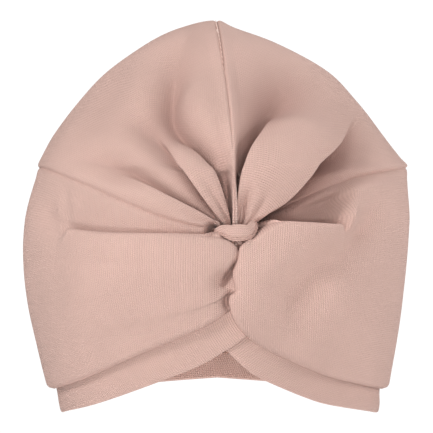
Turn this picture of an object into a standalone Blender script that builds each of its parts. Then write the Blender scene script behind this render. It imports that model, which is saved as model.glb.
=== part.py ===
"""Turban headwrap of double jersey: two crown halves gathered at a front knot, two wrapped
bands that cross under it, a folded hem on each band and a narrow loop over the gathers.

The headwrap keeps the form that a head gives it. +X is the right side seen from the front,
the front looks along -Y, and the origin is the middle of the head opening, level with the
lowest points of the hem. Units are metres.
"""

import math

import bpy
import numpy as np

# Driving sizes of the form
CAP_HEIGHT = 0.211
HALF_WIDTH = 0.105
FRONT_REACH = 0.106
BACK_REACH = 0.117

# Cloth
CLOTH_WALL = 0.0020
HEM_WALL = 0.0026
SEAM_GAP = 0.0004

# Hems: their width at the sides and back, and how much wider each grows towards the crossing
HEM_WIDTH = 0.0126
HEM_SPREAD = {-1: 0.50, 1: 0.30}
HEM_SPREAD_AZIMUTH = 75.0
HEM_STEP = 0.0010

# Knot: its place as shares of HALF_WIDTH and CAP_HEIGHT, and its own sizes
KNOT_ACROSS = 0.100
KNOT_UP = 0.462
KNOT_SINK = 0.008
KNOT_SINK_RADIUS = 0.030
LOOP_RISE = 0.0035
LOOP_WALL = 0.0060
LOOP_DROP = 0.0055
LOOP_CLEARANCE = 0.0006

# Relief of the cloth
CROWN_PUFF = 0.0030
CROWN_PUFF_AZIMUTH = 32.0
WRAP_PUFF = 0.0030
WRAP_PUFF_EASE = 0.006
WRAP_PUFF_FALL = 0.030
WRAP_SINK_SHARE = 0.5
GATHER_DEPTH = 0.0120
GATHER_WIDTH = 0.0120
DENT_DEPTH = 0.0035
SEAM_GROOVE = 0.0008
SEAM_EASE = 0.010
SEAM_EASE_SHARE = 0.125
LIP_RISE = 0.0035
LIP_RISE_HEIGHT = 0.016
LIP_SINK = 0.0065
LIP_EDGE = 0.0022
LIP_FADE_AZIMUTH = 32.0
CREASE_ROLL = 0.0055
CREASE_ROLL_WIDTH = 0.007

# Level sections, as shares of CAP_HEIGHT, HALF_WIDTH (left and right) and the two reaches
SECTIONS = (
    # height, left, right, front, back
    (-0.10, 0.745, 0.775, 0.81, 0.74),
    (0.00, 0.815, 0.840, 0.87, 0.80),
    (0.06, 0.845, 0.855, 0.91, 0.84),
    (0.16, 0.895, 0.890, 0.95, 0.90),
    (0.28, 0.946, 0.926, 0.98, 0.96),
    (0.41, 0.972, 0.952, 0.99, 0.99),
    (0.52, 0.952, 0.967, 0.97, 0.99),
    (0.63, 0.918, 0.972, 0.93, 0.96),
    (0.71, 0.836, 0.845, 0.85, 0.90),
    (0.79, 0.714, 0.720, 0.73, 0.79),
    (0.87, 0.563, 0.568, 0.57, 0.63),
    (0.94, 0.362, 0.308, 0.39, 0.44),
    (0.98, 0.190, 0.095, 0.21, 0.25),
    (1.00, 0.000, 0.000, 0.00, 0.00),
)

# Lines of the front, as shares of HALF_WIDTH across and CAP_HEIGHT up
LEFT_SEAM = (
    # across, up
    (0.000, 0.473),
    (-0.138, 0.478),
    (-0.297, 0.499),
    (-0.508, 0.542),
    (-0.687, 0.581),
    (-0.856, 0.614),
)
RIGHT_SEAM = (
    # across, up
    (0.195, 0.473),
    (0.272, 0.504),
    (0.390, 0.533),
    (0.564, 0.573),
    (0.703, 0.599),
    (0.846, 0.616),
)
LEFT_HEM_FOOT = (
    # across, up
    (0.170, 0.205),
    (0.051, 0.165),
    (-0.135, 0.115),
    (-0.446, 0.056),
    (-0.656, 0.020),
    (-0.790, 0.002),
)
RIGHT_HEM_FOOT = (
    # across, up
    (0.020, 0.176),
    (0.144, 0.120),
    (0.237, 0.089),
    (0.451, 0.0435),
    (0.605, 0.0205),
    (0.800, 0.002),
)
CREASE = (
    # across, up
    (0.059, 0.284),
    (0.077, 0.315),
    (0.085, 0.348),
    (0.097, 0.381),
    (0.108, 0.412),
)
LEFT_LOBE = (
    # across, up
    (0.095, 0.427),
    (0.056, 0.439),
    (0.010, 0.449),
)
RIGHT_LOBE = (
    # across, up
    (0.123, 0.424),
    (0.154, 0.437),
    (0.185, 0.450),
)
LEFT_LIP = (
    # across, up
    (0.010, 0.452),
    (-0.120, 0.4545),
    (-0.510, 0.455),
    (-0.715, 0.4655),
    (-0.800, 0.478),
)
RIGHT_LIP = (
    # across, up
    (0.190, 0.455),
    (0.265, 0.4847),
    (0.420, 0.483),
    (0.598, 0.4775),
    (0.682, 0.483),
)

# The crossing: where the crease meets the left hem, as a share of HALF_WIDTH, and how far the
# right wrap's edge bows out from there to the right hem, in metres
CREASE_FOOT_ACROSS = 0.070
WRAP_EDGE_BOW = 0.0014

# Lines round the back: azimuth from the front in degrees, and height as a share of CAP_HEIGHT
SEAM_BACK = (
    # azimuth, up
    (90.0, 0.622),
    (120.0, 0.600),
    (150.0, 0.565),
    (180.0, 0.545),
)
HEM_FOOT_BACK = (
    # azimuth, up
    (90.0, 0.000),
    (120.0, 0.022),
    (150.0, 0.060),
    (180.0, 0.078),
)

# Gathers of the crown: angles round the knot seen from the front, 0 right and 90 up, at four
# ways out; the reach in degrees round the form; shares of GATHER_DEPTH and GATHER_WIDTH; and
# how much broader the side at greater angles is
GATHER_WAYS = (9.0, 19.0, 33.0, 55.0)
GATHERS = (
    # near, inner, outer, far, reach, depth, narrow, broad, lean
    (152.0, 153.3, 152.0, 153.0, 60.0, 0.50, 0.17, 0.50, -0.3),
    (139.0, 133.0, 131.3, 131.5, 62.0, 0.55, 0.17, 0.60, 0.4),
    (106.5, 107.5, 116.5, 118.0, 88.0, 1.00, 0.20, 1.10, 0.2),
    (88.0, 83.0, 76.0, 72.5, 74.0, 0.80, 0.15, 1.10, 0.6),
    (62.0, 70.0, 70.0, 70.0, 20.0, 0.35, 0.12, 0.20, 0.0),
    (22.5, 35.0, 41.5, 41.0, 70.0, 0.95, 0.20, 1.10, 0.0),
)
GATHER_FADE = 0.5
GATHER_NEAR_SHARE = 0.5
GATHER_SOFT = 0.7

# Soft dents of the wraps: middle, half-sizes and slant as shares of HALF_WIDTH and CAP_HEIGHT
# and degrees, and depth as a share of DENT_DEPTH
DENTS = (
    # across, up, long, short, slant, depth
    (0.560, 0.400, 0.230, 0.075, 40.0, 1.00),
    (0.370, 0.270, 0.200, 0.080, 75.0, 0.60),
    (-0.850, 0.515, 0.100, 0.050, 80.0, 0.55),
    (-0.250, 0.300, 0.480, 0.090, 14.0, 0.45),
)

# Grid sizes of the pieces, and how much closer together their lines lie near the knot
CROWN_CELLS = 28
FEWEST_CELLS = 3
CROWN_ALONG = 26
CROWN_CORNER_AZIMUTH = 128.0
CROWN_CROWDING = 1.15
CENTRE_ANGLE = 95.0
FOLD_CROWDING = 0.5
WRAP_ALONG = 28
WRAP_BELOW = 9
WRAP_EDGE_CELLS = 2
WRAP_ABOVE = 4
WRAP_CROWDING = 1.35
HEM_ALONG = 32
HEM_UP = 3
HEM_CROWDING = 1.2
LOOP_ALONG = 8
LOOP_UP = 4

# Steps of the dense lines and grids that the pieces' grids are read from, the least share of a
# dense grid between two grid lines that follow folds, and the steepest cosine a wall allows for
DENSE = 160
RAY_STEPS = 36
LEAST_SHARE = 0.025
LIP_SHARES = (0.10, 0.05)
STEEPEST = 0.6

# Dusty pink jersey, paler on the loop where the light falls, as linear colours
JERSEY = (0.62, 0.40, 0.34)
LOOP_JERSEY = (0.64, 0.41, 0.35)
ROUGHNESS = 0.85
SHARP_ANGLE = 50.0


def smooth_step(value):
    """0 below 0, 1 above 1, and an S-curve between."""
    share = np.clip(value, 0.0, 1.0)
    return share * share * (3.0 - 2.0 * share)


def unit(vectors):
    return vectors / np.linalg.norm(vectors, axis=-1, keepdims=True)


def through(rows, count):
    """Points on a smooth curve through the rows, spaced evenly by row."""
    rows = np.array(rows, float)
    padded = np.vstack([2 * rows[0] - rows[1], rows, 2 * rows[-1] - rows[-2]])
    place = np.linspace(0.0, len(rows) - 1.0, count)
    index = np.minimum(place.astype(int), len(rows) - 2)
    share = (place - index)[:, None]
    before, start, end, after = (padded[index + step] for step in range(4))
    return 0.5 * (
        2 * start
        + (end - before) * share
        + (2 * before - 5 * start + 4 * end - after) * share**2
        + (3 * start - before - 3 * end + after) * share**3
    )


def dense_sections():
    """The level sections as a dense table in metres, with a level tangent at the top."""
    scale = np.array([CAP_HEIGHT, HALF_WIDTH, HALF_WIDTH, FRONT_REACH, BACK_REACH])
    rows = np.array(SECTIONS) * scale
    mirrored = rows[-2] * np.array([1.0, -1.0, -1.0, -1.0, -1.0])
    dense = through(np.vstack([rows, mirrored]), DENSE * len(rows) + 1)
    dense = dense[: DENSE * (len(rows) - 1) + 1]
    dense[:, 0] = np.maximum.accumulate(dense[:, 0])
    return np.maximum(dense, [-np.inf, 1e-6, 1e-6, 1e-6, 1e-6])


FORM = dense_sections()
KNOT = np.array([KNOT_ACROSS * HALF_WIDTH, 0.0, KNOT_UP * CAP_HEIGHT])


def half_width(x, z):
    """Half-width of the level section at height z, on the side where x lies."""
    left = np.interp(z, FORM[:, 0], FORM[:, 1])
    right = np.interp(z, FORM[:, 0], FORM[:, 2])
    return np.where(x < 0, left, right)


def half_depth(y, z):
    """Half-depth of the level section at height z, towards the front or the back."""
    front = np.interp(z, FORM[:, 0], FORM[:, 3])
    back = np.interp(z, FORM[:, 0], FORM[:, 4])
    return np.where(y < 0, front, back)


def on_form(directions):
    """Where rays from the middle of the form, behind the knot, meet the smooth form."""
    ray = unit(directions)
    near = np.zeros(ray.shape[:-1])
    far = np.full(ray.shape[:-1], 2.0 * max(CAP_HEIGHT, HALF_WIDTH, FRONT_REACH, BACK_REACH))
    for _ in range(RAY_STEPS):
        middle = (near + far) / 2
        x, y, z = np.moveaxis(KNOT + ray * middle[..., None], -1, 0)
        spread = (x / half_width(x, z)) ** 2 + (y / half_depth(y, z)) ** 2
        inside = (spread < 1.0) & (z < CAP_HEIGHT)
        near = np.where(inside, middle, near)
        far = np.where(inside, far, middle)
    return KNOT + ray * near[..., None]


def normals_at(points):
    """Outward unit normals of the smooth form at these points of it."""
    ray = unit(points - KNOT)
    level = np.where(np.abs(ray[..., 2:3]) < 0.8, [0.0, 0.0, 1.0], [1.0, 0.0, 0.0])
    side = unit(np.cross(level, ray))
    rise = np.cross(ray, side)
    turn = 0.01
    along = on_form(ray + side * turn) - on_form(ray - side * turn)
    up = on_form(ray + rise * turn) - on_form(ray - rise * turn)
    return unit(np.cross(along, up))


def azimuth_of(across, up):
    """Azimuth in degrees of a front point given in shares: 0 front, 90 right, -90 left."""
    x = across * HALF_WIDTH
    return np.degrees(np.arcsin(np.clip(x / half_width(x, up * CAP_HEIGHT), -1, 1)))


def front_line(rows):
    """A front line as points of azimuth in degrees and height in metres."""
    rows = np.array(rows, float)
    return np.column_stack([azimuth_of(rows[:, 0], rows[:, 1]), rows[:, 1] * CAP_HEIGHT])


def round_line(front_rows, back_rows, side):
    """A line from the front round one side to the middle of the back."""
    back = np.array(back_rows, float) * [side, CAP_HEIGHT]
    return through(np.vstack([front_line(front_rows), back]), 3 * DENSE)


def at_azimuth(line, azimuth):
    """Height of a line at these azimuths."""
    order = np.argsort(line[:, 0])
    return np.interp(azimuth, line[order, 0], line[order, 1])


def degrees_along(length):
    """Azimuth that a length takes up on the widest section."""
    return math.degrees(length / HALF_WIDTH)


def placed(azimuth, height):
    """Points of the smooth form at these azimuths and heights."""
    angle = np.radians(azimuth)
    x, y = np.sin(angle), -np.cos(angle)
    return np.stack(
        [x * half_width(x, height), y * half_depth(y, height), height], axis=-1
    )


def coons(start, end, foot, top, across, up):
    """A grid filled between four sides: start and end run up, foot and top run across."""
    across, up = across[:, None, None], up[None, :, None]
    corners = (
        (1 - across) * (1 - up) * foot[0]
        + across * (1 - up) * foot[-1]
        + (1 - across) * up * top[0]
        + across * up * top[-1]
    )
    return (
        (1 - up) * foot[:, None, :]
        + up * top[:, None, :]
        + (1 - across) * start[None, :, :]
        + across * end[None, :, :]
        - corners
    )


def resampled(line, shares):
    """Points of a line at these shares of its length."""
    length = np.concatenate([[0.0], np.cumsum(np.linalg.norm(np.diff(line, axis=0), axis=1))])
    length = length / length[-1]
    return np.column_stack([np.interp(shares, length, column) for column in line.T])


def resampled_round(line, shares):
    """The same for a line of azimuths and heights, by its length on the form."""
    scale = np.array([degrees_along(1.0), 1.0])
    return resampled(line / scale, shares) * scale


def around_knot(points):
    """Angle round the knot seen from the front, way round the form, and distance out."""
    out = points - KNOT
    distance = np.hypot(out[..., 0], out[..., 2])
    angle = np.degrees(np.arctan2(out[..., 2], out[..., 0]))
    way = np.degrees(np.arctan2(distance, -out[..., 1]))
    return angle, way, distance


def knot_sink(points):
    """How far the cloth is drawn in round the knot, as a negative relief."""
    angle, way, distance = around_knot(points)
    drawn = np.exp(-((distance / KNOT_SINK_RADIUS) ** 2))
    return np.where(way < 90.0, -KNOT_SINK * drawn, 0.0)


def gather_line(gather, way):
    """The angle at which one gather lies, this far round the form."""
    path = through(np.column_stack([GATHER_WAYS, gather[:4]]), DENSE)
    return np.interp(way, path[:, 0], path[:, 1])


def gather_depth(points, gather):
    """How deep one gather lies below the crown at these points: a crease that softens."""
    reach, depth, narrow, broad, lean = gather[4:]
    angle, way, distance = around_knot(points)
    share = np.clip(way / reach, 0.0, 1.0)
    width = GATHER_WIDTH * (narrow + (broad - narrow) * share)
    across = np.radians(angle - gather_line(gather, way)) * distance / width
    across = across / (1 + lean * np.sign(across))
    soft = GATHER_SOFT * share
    fall = np.sqrt(across**2 + soft**2) - soft
    near = GATHER_NEAR_SHARE + (1 - GATHER_NEAR_SHARE) * smooth_step(4 * share)
    fade = smooth_step((1 - share) / GATHER_FADE) * near
    return GATHER_DEPTH * depth * fade * np.exp(-fall)


def dent_depth(points):
    """How deep the soft dents of the wraps lie at these points of the front."""
    depth = np.zeros(points.shape[:-1])
    for across, up, long, short, slant, deep in DENTS:
        x = points[..., 0] / HALF_WIDTH - across
        z = (points[..., 2] - up * CAP_HEIGHT) / HALF_WIDTH
        turn = math.radians(slant)
        along = (x * math.cos(turn) + z * math.sin(turn)) / long
        over = (z * math.cos(turn) - x * math.sin(turn)) / short
        depth += DENT_DEPTH * deep * np.exp(-(along**2) - over**2)
    return np.where(points[..., 1] < 0, depth, 0.0)


def stepped(stops, cells):
    """Values from each stop to the next in this many cells, closer together near the stops."""
    parts = [stops[..., :1]]
    for index, count in enumerate(cells):
        share = np.arange(1, count + 1) / count
        share = share + FOLD_CROWDING * (smooth_step(share) - share)
        start, end = stops[..., index, None], stops[..., index + 1, None]
        parts.append(start + (end - start) * share)
    return np.concatenate(parts, axis=-1)


def row_picked(grid, places):
    """Rows of a dense grid, read at fractional places along its first axis."""
    index = np.clip(places.astype(int), 0, len(grid) - 2)
    share = (places - index)[..., None]
    column = np.arange(grid.shape[1])[None, :]
    return grid[index, column] * (1 - share) + grid[index + 1, column] * share


def first_crossing(columns):
    """The fractional row at which each rising column of values first reaches zero."""
    rows = np.arange(len(columns))
    return np.array([np.interp(0.0, np.maximum.accumulate(c), rows) for c in columns.T])


def run_along(points):
    """Distance run from the first row of a grid of points."""
    step = np.linalg.norm(np.diff(points, axis=0), axis=2)
    return np.concatenate([np.zeros((1, step.shape[1])), np.cumsum(step, axis=0)])


def grid_normals(points):
    """Unit normals of a grid of points."""
    return unit(np.cross(np.gradient(points, axis=0), np.gradient(points, axis=1)))


def solid_from(name, points, relief, wall, color=JERSEY):
    """One closed solid: an outer face at the relief and an inner face a wall behind it."""
    normals = normals_at(points)
    outer = points + normals * relief[..., None]
    steepness = np.abs(np.sum(grid_normals(outer) * normals, axis=-1))
    depth = wall / np.clip(steepness, STEEPEST, 1.0)
    inner = outer - normals * depth[..., None]
    rows, columns = relief.shape
    vertices = np.concatenate([outer.reshape(-1, 3), inner.reshape(-1, 3)])
    second = rows * columns
    corner = np.arange(second).reshape(rows, columns)
    a, b = corner[:-1, :-1].ravel(), corner[1:, :-1].ravel()
    c, d = corner[1:, 1:].ravel(), corner[:-1, 1:].ravel()
    faces = np.concatenate(
        [np.column_stack([a, b, c, d]), np.column_stack([d, c, b, a]) + second]
    ).tolist()
    rim = np.concatenate(
        [corner[:, 0], corner[-1, 1:], corner[-2::-1, -1], corner[0, -2:0:-1]]
    ).tolist()
    for here, there in zip(rim, rim[1:] + rim[:1]):
        faces.append((there, here, here + second, there + second))
    return add_object(name, vertices, faces, color)


def add_object(name, vertices, faces, color):
    """A smooth-shaded object whose faces point out, with a material of its own."""
    mesh = bpy.data.meshes.new(name)
    mesh.from_pydata(vertices.tolist(), [], faces)
    mesh.update()
    volume = sum(
        mesh.vertices[p.vertices[0]].co.dot(p.normal) * p.area for p in mesh.polygons
    )
    if volume < 0:
        mesh.flip_normals()
    mesh.shade_smooth()
    mesh.set_sharp_from_angle(angle=math.radians(SHARP_ANGLE))
    mesh.materials.append(jersey(name + "_jersey", color))
    obj = bpy.data.objects.new(name, mesh)
    bpy.context.scene.collection.objects.link(obj)
    return obj


def jersey(name, color):
    """Matt knitted cotton."""
    material = bpy.data.materials.new(name)
    material.use_nodes = True
    shader = material.node_tree.nodes["Principled BSDF"]
    shader.inputs["Base Color"].default_value = (*color, 1.0)
    shader.inputs["Roughness"].default_value = ROUGHNESS
    shader.inputs["Metallic"].default_value = 0.0
    return material


def seam_line(side):
    """The seam between the crown and one wrap, from the knot round to the back."""
    return round_line(LEFT_SEAM if side < 0 else RIGHT_SEAM, SEAM_BACK, side)


def hem_foot_line(side):
    """The lower edge of one hem, which is also the edge of the head opening."""
    return round_line(LEFT_HEM_FOOT if side < 0 else RIGHT_HEM_FOOT, HEM_FOOT_BACK, side)


def hem_top_line(side):
    """The upper edge of one hem, a hem's width above its foot."""
    line = hem_foot_line(side)
    nearness = smooth_step(1 - np.abs(line[:, 0]) / HEM_SPREAD_AZIMUTH)
    line[:, 1] += HEM_WIDTH * (1 + HEM_SPREAD[side] * nearness)
    return line


def meeting(left, right):
    """Where a line of the left side meets one of the right, as azimuth and height."""
    azimuth = np.linspace(right[0, 0], left[0, 0], DENSE)
    apart = at_azimuth(left, azimuth) - at_azimuth(right, azimuth)
    place = np.interp(0.0, apart, azimuth)
    return np.array([place, at_azimuth(left, place)])


def crease_foot():
    """Where the crease between the wraps meets the top of the left hem."""
    line = hem_top_line(-1)
    up = line[0, 1] / CAP_HEIGHT
    azimuth = azimuth_of(np.array(CREASE_FOOT_ACROSS), np.array(up))
    return np.array([azimuth, at_azimuth(line, azimuth)])


def wrap_edge():
    """The right wrap's edge over the left hem, from the right hem up to the crease."""
    foot, top = meeting(hem_foot_line(-1), hem_top_line(1)), crease_foot()
    share = np.linspace(0.0, 1.0, 5)[:, None]
    bow = np.array([-degrees_along(WRAP_EDGE_BOW), 0.0])
    return foot + (top - foot) * share + bow * 4 * share * (1 - share)


def centre_seam_directions(shares):
    """Directions of the seam that runs from the knot over the top to the back."""
    foot = front_line([(KNOT_ACROSS, LEFT_SEAM[0][1])])
    start = placed(foot[:, 0], foot[:, 1])[0] - KNOT
    back = placed(np.array(180.0), np.array(SEAM_BACK[-1][1] * CAP_HEIGHT)) - KNOT
    first = math.atan2(start[2], -start[1])
    last = math.atan2(back[2], -back[1])
    turn = first + (last - first) * shares
    slide = smooth_step(turn / math.radians(CENTRE_ANGLE))
    sideways = start[0] + (-KNOT[0] - start[0]) * slide
    up_and_over = FRONT_REACH * np.stack([-np.cos(turn), np.sin(turn)])
    return np.stack([sideways, *up_and_over], axis=-1)


def gathered_places(dense, side):
    """Where the crown's grid lines cross its dense grid, so that a line follows each gather."""
    angle, way, distance = around_knot(KNOT + dense)
    last = len(dense) - 1
    least = last * LEAST_SHARE
    gathers = [g for g in GATHERS if (g[0] - CENTRE_ANGLE) * side < 0]
    gathers.sort(key=lambda gather: side * gather[0])
    stops = [np.zeros(dense.shape[1])]
    for gather in gathers:
        off = side * (angle - gather_line(gather, way))
        stops.append(np.clip(first_crossing(off), stops[-1] + least, last))
    stops.append(np.full(dense.shape[1], float(last)))
    for index in range(len(gathers), 0, -1):
        stops[index] = np.minimum(stops[index], stops[index + 1] - least)
    widths = np.sqrt(np.mean(np.diff(stops, axis=0), axis=1))
    cells = np.maximum(FEWEST_CELLS, np.round(CROWN_CELLS * widths / widths.sum())).astype(int)
    return stepped(np.stack(stops, axis=-1), cells).T


def crown_points(side):
    """The grid of one crown half on the smooth form, from its wrap seam to the centre seam."""
    seam = seam_line(side)
    seam_points = placed(seam[:, 0], seam[:, 1] + SEAM_GAP / 2)
    corner = int(np.argmin(np.abs(np.abs(seam[:, 0]) - CROWN_CORNER_AZIMUTH)))
    across = np.linspace(0.0, 1.0, DENSE + 1)
    along = np.linspace(0.0, 1.0, CROWN_ALONG + 1) ** CROWN_CROWDING
    seam_side = unit(resampled(seam_points[: corner + 1], along) - KNOT)
    centre_points = on_form(centre_seam_directions(along))
    centre_points[:, 0] += side * SEAM_GAP / 2
    centre = unit(centre_points - KNOT)
    back = unit(resampled(seam_points[corner:], across) - KNOT)
    back[-1] = centre[-1]
    knot_points = seam_points[0] + (centre_points[0] - seam_points[0]) * across[:, None]
    dense = coons(seam_side, centre, unit(knot_points - KNOT), back, across, along)
    return on_form(row_picked(dense, gathered_places(dense, side)))


def crown(name, side):
    """One half of the crown, from the knot over the top to the back seam."""
    points = crown_points(side)
    angle, way, distance = around_knot(points)
    run = run_along(points)
    width = run[-1]
    ease = np.minimum(SEAM_EASE, width * SEAM_EASE_SHARE)
    to_back = run_along(points.swapaxes(0, 1)[::-1])[::-1].T
    edge = np.minimum(np.minimum(run, width - run) / ease, to_back / SEAM_EASE)
    inside = smooth_step(edge)
    puff = CROWN_PUFF * np.exp(-(((way / CROWN_PUFF_AZIMUTH) - 1) ** 2))
    folds = sum(gather_depth(points, gather) for gather in GATHERS)
    groove = SEAM_GROOVE * (1 - inside)
    solid_from(name, points, knot_sink(points) + (puff - folds) * inside - groove, CLOTH_WALL)


def lip_line(side):
    """The edge of a wrap's upper fold, as azimuths and heights."""
    return through(front_line(LEFT_LIP if side < 0 else RIGHT_LIP), DENSE)


def wrap_grid(side):
    """Azimuths and heights of one wrap, with its crease at the front and its back seam."""
    seam, hem = seam_line(side), hem_top_line(side)
    if side < 0:
        rows = [[crease_foot()], front_line(CREASE + LEFT_LOBE + LEFT_SEAM[:1])]
    else:
        rows = [wrap_edge(), front_line(CREASE + RIGHT_LOBE + RIGHT_SEAM[:1])]
    start = through(np.vstack(rows), DENSE)
    half_gap = degrees_along(SEAM_GAP / 2)
    start[:, 0] += side * half_gap
    across = np.linspace(0.0, 1.0, WRAP_ALONG + 1) ** WRAP_CROWDING
    up = np.linspace(0.0, 1.0, DENSE + 1)
    start = resampled_round(start, up)
    sides = []
    for corner, line, shift in ((start[0], hem, SEAM_GAP / 2), (start[-1], seam, -SEAM_GAP / 2)):
        azimuth = corner[0] + (side * (180.0 - half_gap) - corner[0]) * across
        sides.append(np.column_stack([azimuth, at_azimuth(line, azimuth) + shift]))
    foot, top = sides
    foot[0], top[0] = start[0], start[-1]
    end = foot[-1] + (top[-1] - foot[-1]) * up[:, None]
    dense = coons(start, end, foot, top, across, up).swapaxes(0, 1)
    above = dense[..., 1] - at_azimuth(lip_line(side), dense[..., 0])
    last = len(dense) - 1
    edge = LIP_EDGE / 2 / (dense[-1, :, 1] - dense[0, :, 1]) * last
    lowest, highest = LIP_SHARES[0] * last + edge, (1 - LIP_SHARES[1]) * last - edge
    met = np.clip(first_crossing(above), lowest, highest)
    stops = [np.zeros(len(met)), met - edge, met + edge, np.full(len(met), float(last))]
    cells = (WRAP_BELOW, WRAP_EDGE_CELLS, WRAP_ABOVE)
    places = stepped(np.stack(stops, axis=-1), cells).T
    return row_picked(dense, places).swapaxes(0, 1)


def wrap(name, side):
    """One wrap of the band, from the crossing round to the back seam: a soft puff, with the
    lip of its upper fold standing over the sunk strip above it, and a rolled crease."""
    grid = wrap_grid(side)
    azimuth, height = grid[..., 0], grid[..., 1]
    points = placed(azimuth, height)
    lip = lip_line(side)
    below_seam = at_azimuth(seam_line(side), azimuth) - height
    above_hem = height - at_azimuth(hem_top_line(side), azimuth)
    above_lip = height - at_azimuth(lip, azimuth)
    lip_end = abs(lip[-1, 0])
    fade = smooth_step((lip_end - np.abs(azimuth)) / LIP_FADE_AZIMUTH)
    sunk = smooth_step(above_lip / LIP_EDGE + 0.5)
    rise = LIP_RISE * np.exp(-((above_lip / LIP_RISE_HEIGHT) ** 2)) * (1 - sunk)
    fold = (rise - LIP_SINK * sunk) * fade
    roll = CREASE_ROLL * np.exp(-run_along(points) / CREASE_ROLL_WIDTH)
    puff = smooth_step(above_hem / WRAP_PUFF_EASE) * smooth_step(below_seam / WRAP_PUFF_FALL)
    inside = smooth_step(below_seam / SEAM_EASE)
    drawn = knot_sink(points) * (1 - WRAP_SINK_SHARE * inside * (1 - sunk))
    soft = (fold + WRAP_PUFF * puff - dent_depth(points)) * inside
    relief = drawn + soft - roll - SEAM_GROOVE * (1 - inside)
    solid_from(name, points, relief, CLOTH_WALL)


def hem_start(side, up):
    """The front end of a hem: under the right wrap, or under the left hem, from foot to top."""
    if side < 0:
        rows = wrap_edge()
        shift = np.array([-degrees_along(SEAM_GAP), 0.0])
    else:
        over = hem_foot_line(-1)
        tip, top = meeting(over, hem_foot_line(1)), meeting(over, hem_top_line(1))
        azimuth = np.linspace(tip[0], top[0], DENSE)
        rows = np.column_stack([azimuth, at_azimuth(over, azimuth)])
        shift = np.array([0.0, -SEAM_GAP])
    return resampled_round(rows, up) + shift


def hem(name, side):
    """The folded hem of one wrap, from the crossing round to the back seam."""
    across = np.linspace(0.0, 1.0, HEM_ALONG + 1) ** HEM_CROWDING
    up = np.linspace(0.0, 1.0, HEM_UP + 1)
    back_azimuth = side * (180.0 - degrees_along(SEAM_GAP / 2))
    start = hem_start(side, up)
    sides = []
    for line, corner, shift in (
        (hem_foot_line(side), start[0], 0.0),
        (hem_top_line(side), start[-1], -SEAM_GAP / 2),
    ):
        azimuth = corner[0] + (back_azimuth - corner[0]) * across
        height = at_azimuth(line, azimuth) + shift
        height[0] = corner[1]
        sides.append(np.column_stack([azimuth, height]))
    foot, top = sides
    end = foot[-1] + (top[-1] - foot[-1]) * up[:, None]
    grid = coons(start, end, foot, top, across, up)
    points = placed(grid[..., 0], grid[..., 1])
    solid_from(name, points, knot_sink(points) * WRAP_SINK_SHARE - HEM_STEP, HEM_WALL)


def loop(name):
    """The narrow loop that holds the gathers, arched over the knot."""
    across = np.linspace(0.0, 1.0, LOOP_ALONG + 1)
    up = np.linspace(0.0, 1.0, LOOP_UP + 1)
    clear = np.array([LOOP_CLEARANCE / HALF_WIDTH, LOOP_CLEARANCE / CAP_HEIGHT])
    left_top = np.array(LEFT_SEAM[0]) + clear * [1, -1]
    right_top = np.array(RIGHT_SEAM[0]) + clear * [-1, -1]
    top = front_line(left_top + (right_top - left_top) * across[:, None])
    foot_rows = [
        np.array(LEFT_LOBE[-1]) + clear,
        np.array(LEFT_LOBE[1]) + clear * [0, 1],
        (KNOT_ACROSS, KNOT_UP - LOOP_DROP / CAP_HEIGHT),
        np.array(RIGHT_LOBE[1]) + clear * [0, 1],
        np.array(RIGHT_LOBE[-1]) + clear * [-1, 1],
    ]
    foot = front_line(through(foot_rows, LOOP_ALONG + 1))
    start = foot[0] + (top[0] - foot[0]) * up[:, None]
    end = foot[-1] + (top[-1] - foot[-1]) * up[:, None]
    grid = coons(start, end, foot, top, across, up)
    points = placed(grid[..., 0], grid[..., 1])
    arch = np.outer(4 * across * (1 - across), np.sqrt(4 * up * (1 - up)))
    relief = knot_sink(points) + LOOP_RISE * arch
    solid_from(name, points, relief, LOOP_WALL, LOOP_JERSEY)


def main():
    for old in list(bpy.data.objects):
        bpy.data.objects.remove(old)
    for side, word in ((-1, "left"), (1, "right")):
        crown("crown_" + word, side)
        wrap("wrap_" + word, side)
        hem("hem_" + word, side)
    loop("knot_loop")


main()
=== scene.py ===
import math

import bmesh
import bpy
import numpy as np
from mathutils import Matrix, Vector, noise


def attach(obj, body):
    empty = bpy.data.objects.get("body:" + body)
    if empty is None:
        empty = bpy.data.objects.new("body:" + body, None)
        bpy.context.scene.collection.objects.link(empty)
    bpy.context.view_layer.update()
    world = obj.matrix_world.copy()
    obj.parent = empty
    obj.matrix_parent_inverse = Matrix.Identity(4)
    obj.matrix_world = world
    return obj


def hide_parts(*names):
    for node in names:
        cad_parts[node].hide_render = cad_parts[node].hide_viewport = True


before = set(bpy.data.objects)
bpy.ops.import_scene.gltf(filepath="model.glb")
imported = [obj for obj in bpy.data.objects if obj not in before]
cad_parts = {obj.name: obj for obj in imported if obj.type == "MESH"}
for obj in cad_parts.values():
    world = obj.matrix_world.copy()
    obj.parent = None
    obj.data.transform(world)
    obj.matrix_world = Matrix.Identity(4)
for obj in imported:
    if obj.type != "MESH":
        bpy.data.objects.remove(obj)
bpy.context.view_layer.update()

WORDS = {-1: "left", 1: "right"}

# Form of the headwrap, in metres; the front looks along -Y and +X is right seen from the front
CAP_HEIGHT = 0.211
HALF_WIDTH = 0.105
FRONT_REACH = 0.106
BACK_REACH = 0.117

# Cloth and hems in metres; HEM_SPREAD is how much wider a hem is at the front, left and right
CLOTH = 0.0014
HEM_CLOTH = 0.0011
HEM_FOLD = 0.0026
HEM_WIDTH = 0.0126
HEM_SPREAD = {-1: 0.50, 1: 0.30}
HEM_SPREAD_AZIMUTH = 75.0
HEM_STEP = 0.0010
HEM_BULGE = 0.0004
HEM_BEND_STEPS = 9
HEM_END_TUCK = {-1: 0.0, 1: 0.0016}
HEM_END_REACH = 0.006
SEAM_LAP = 0.0001

# Knot: its place as shares of HALF_WIDTH and CAP_HEIGHT, and how far the cloth is drawn in
KNOT_ACROSS = 0.100
KNOT_UP = 0.462
KNOT_SINK = 0.008
KNOT_SINK_RADIUS = 0.030
WRAP_SINK_SHARE = 0.5

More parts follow.
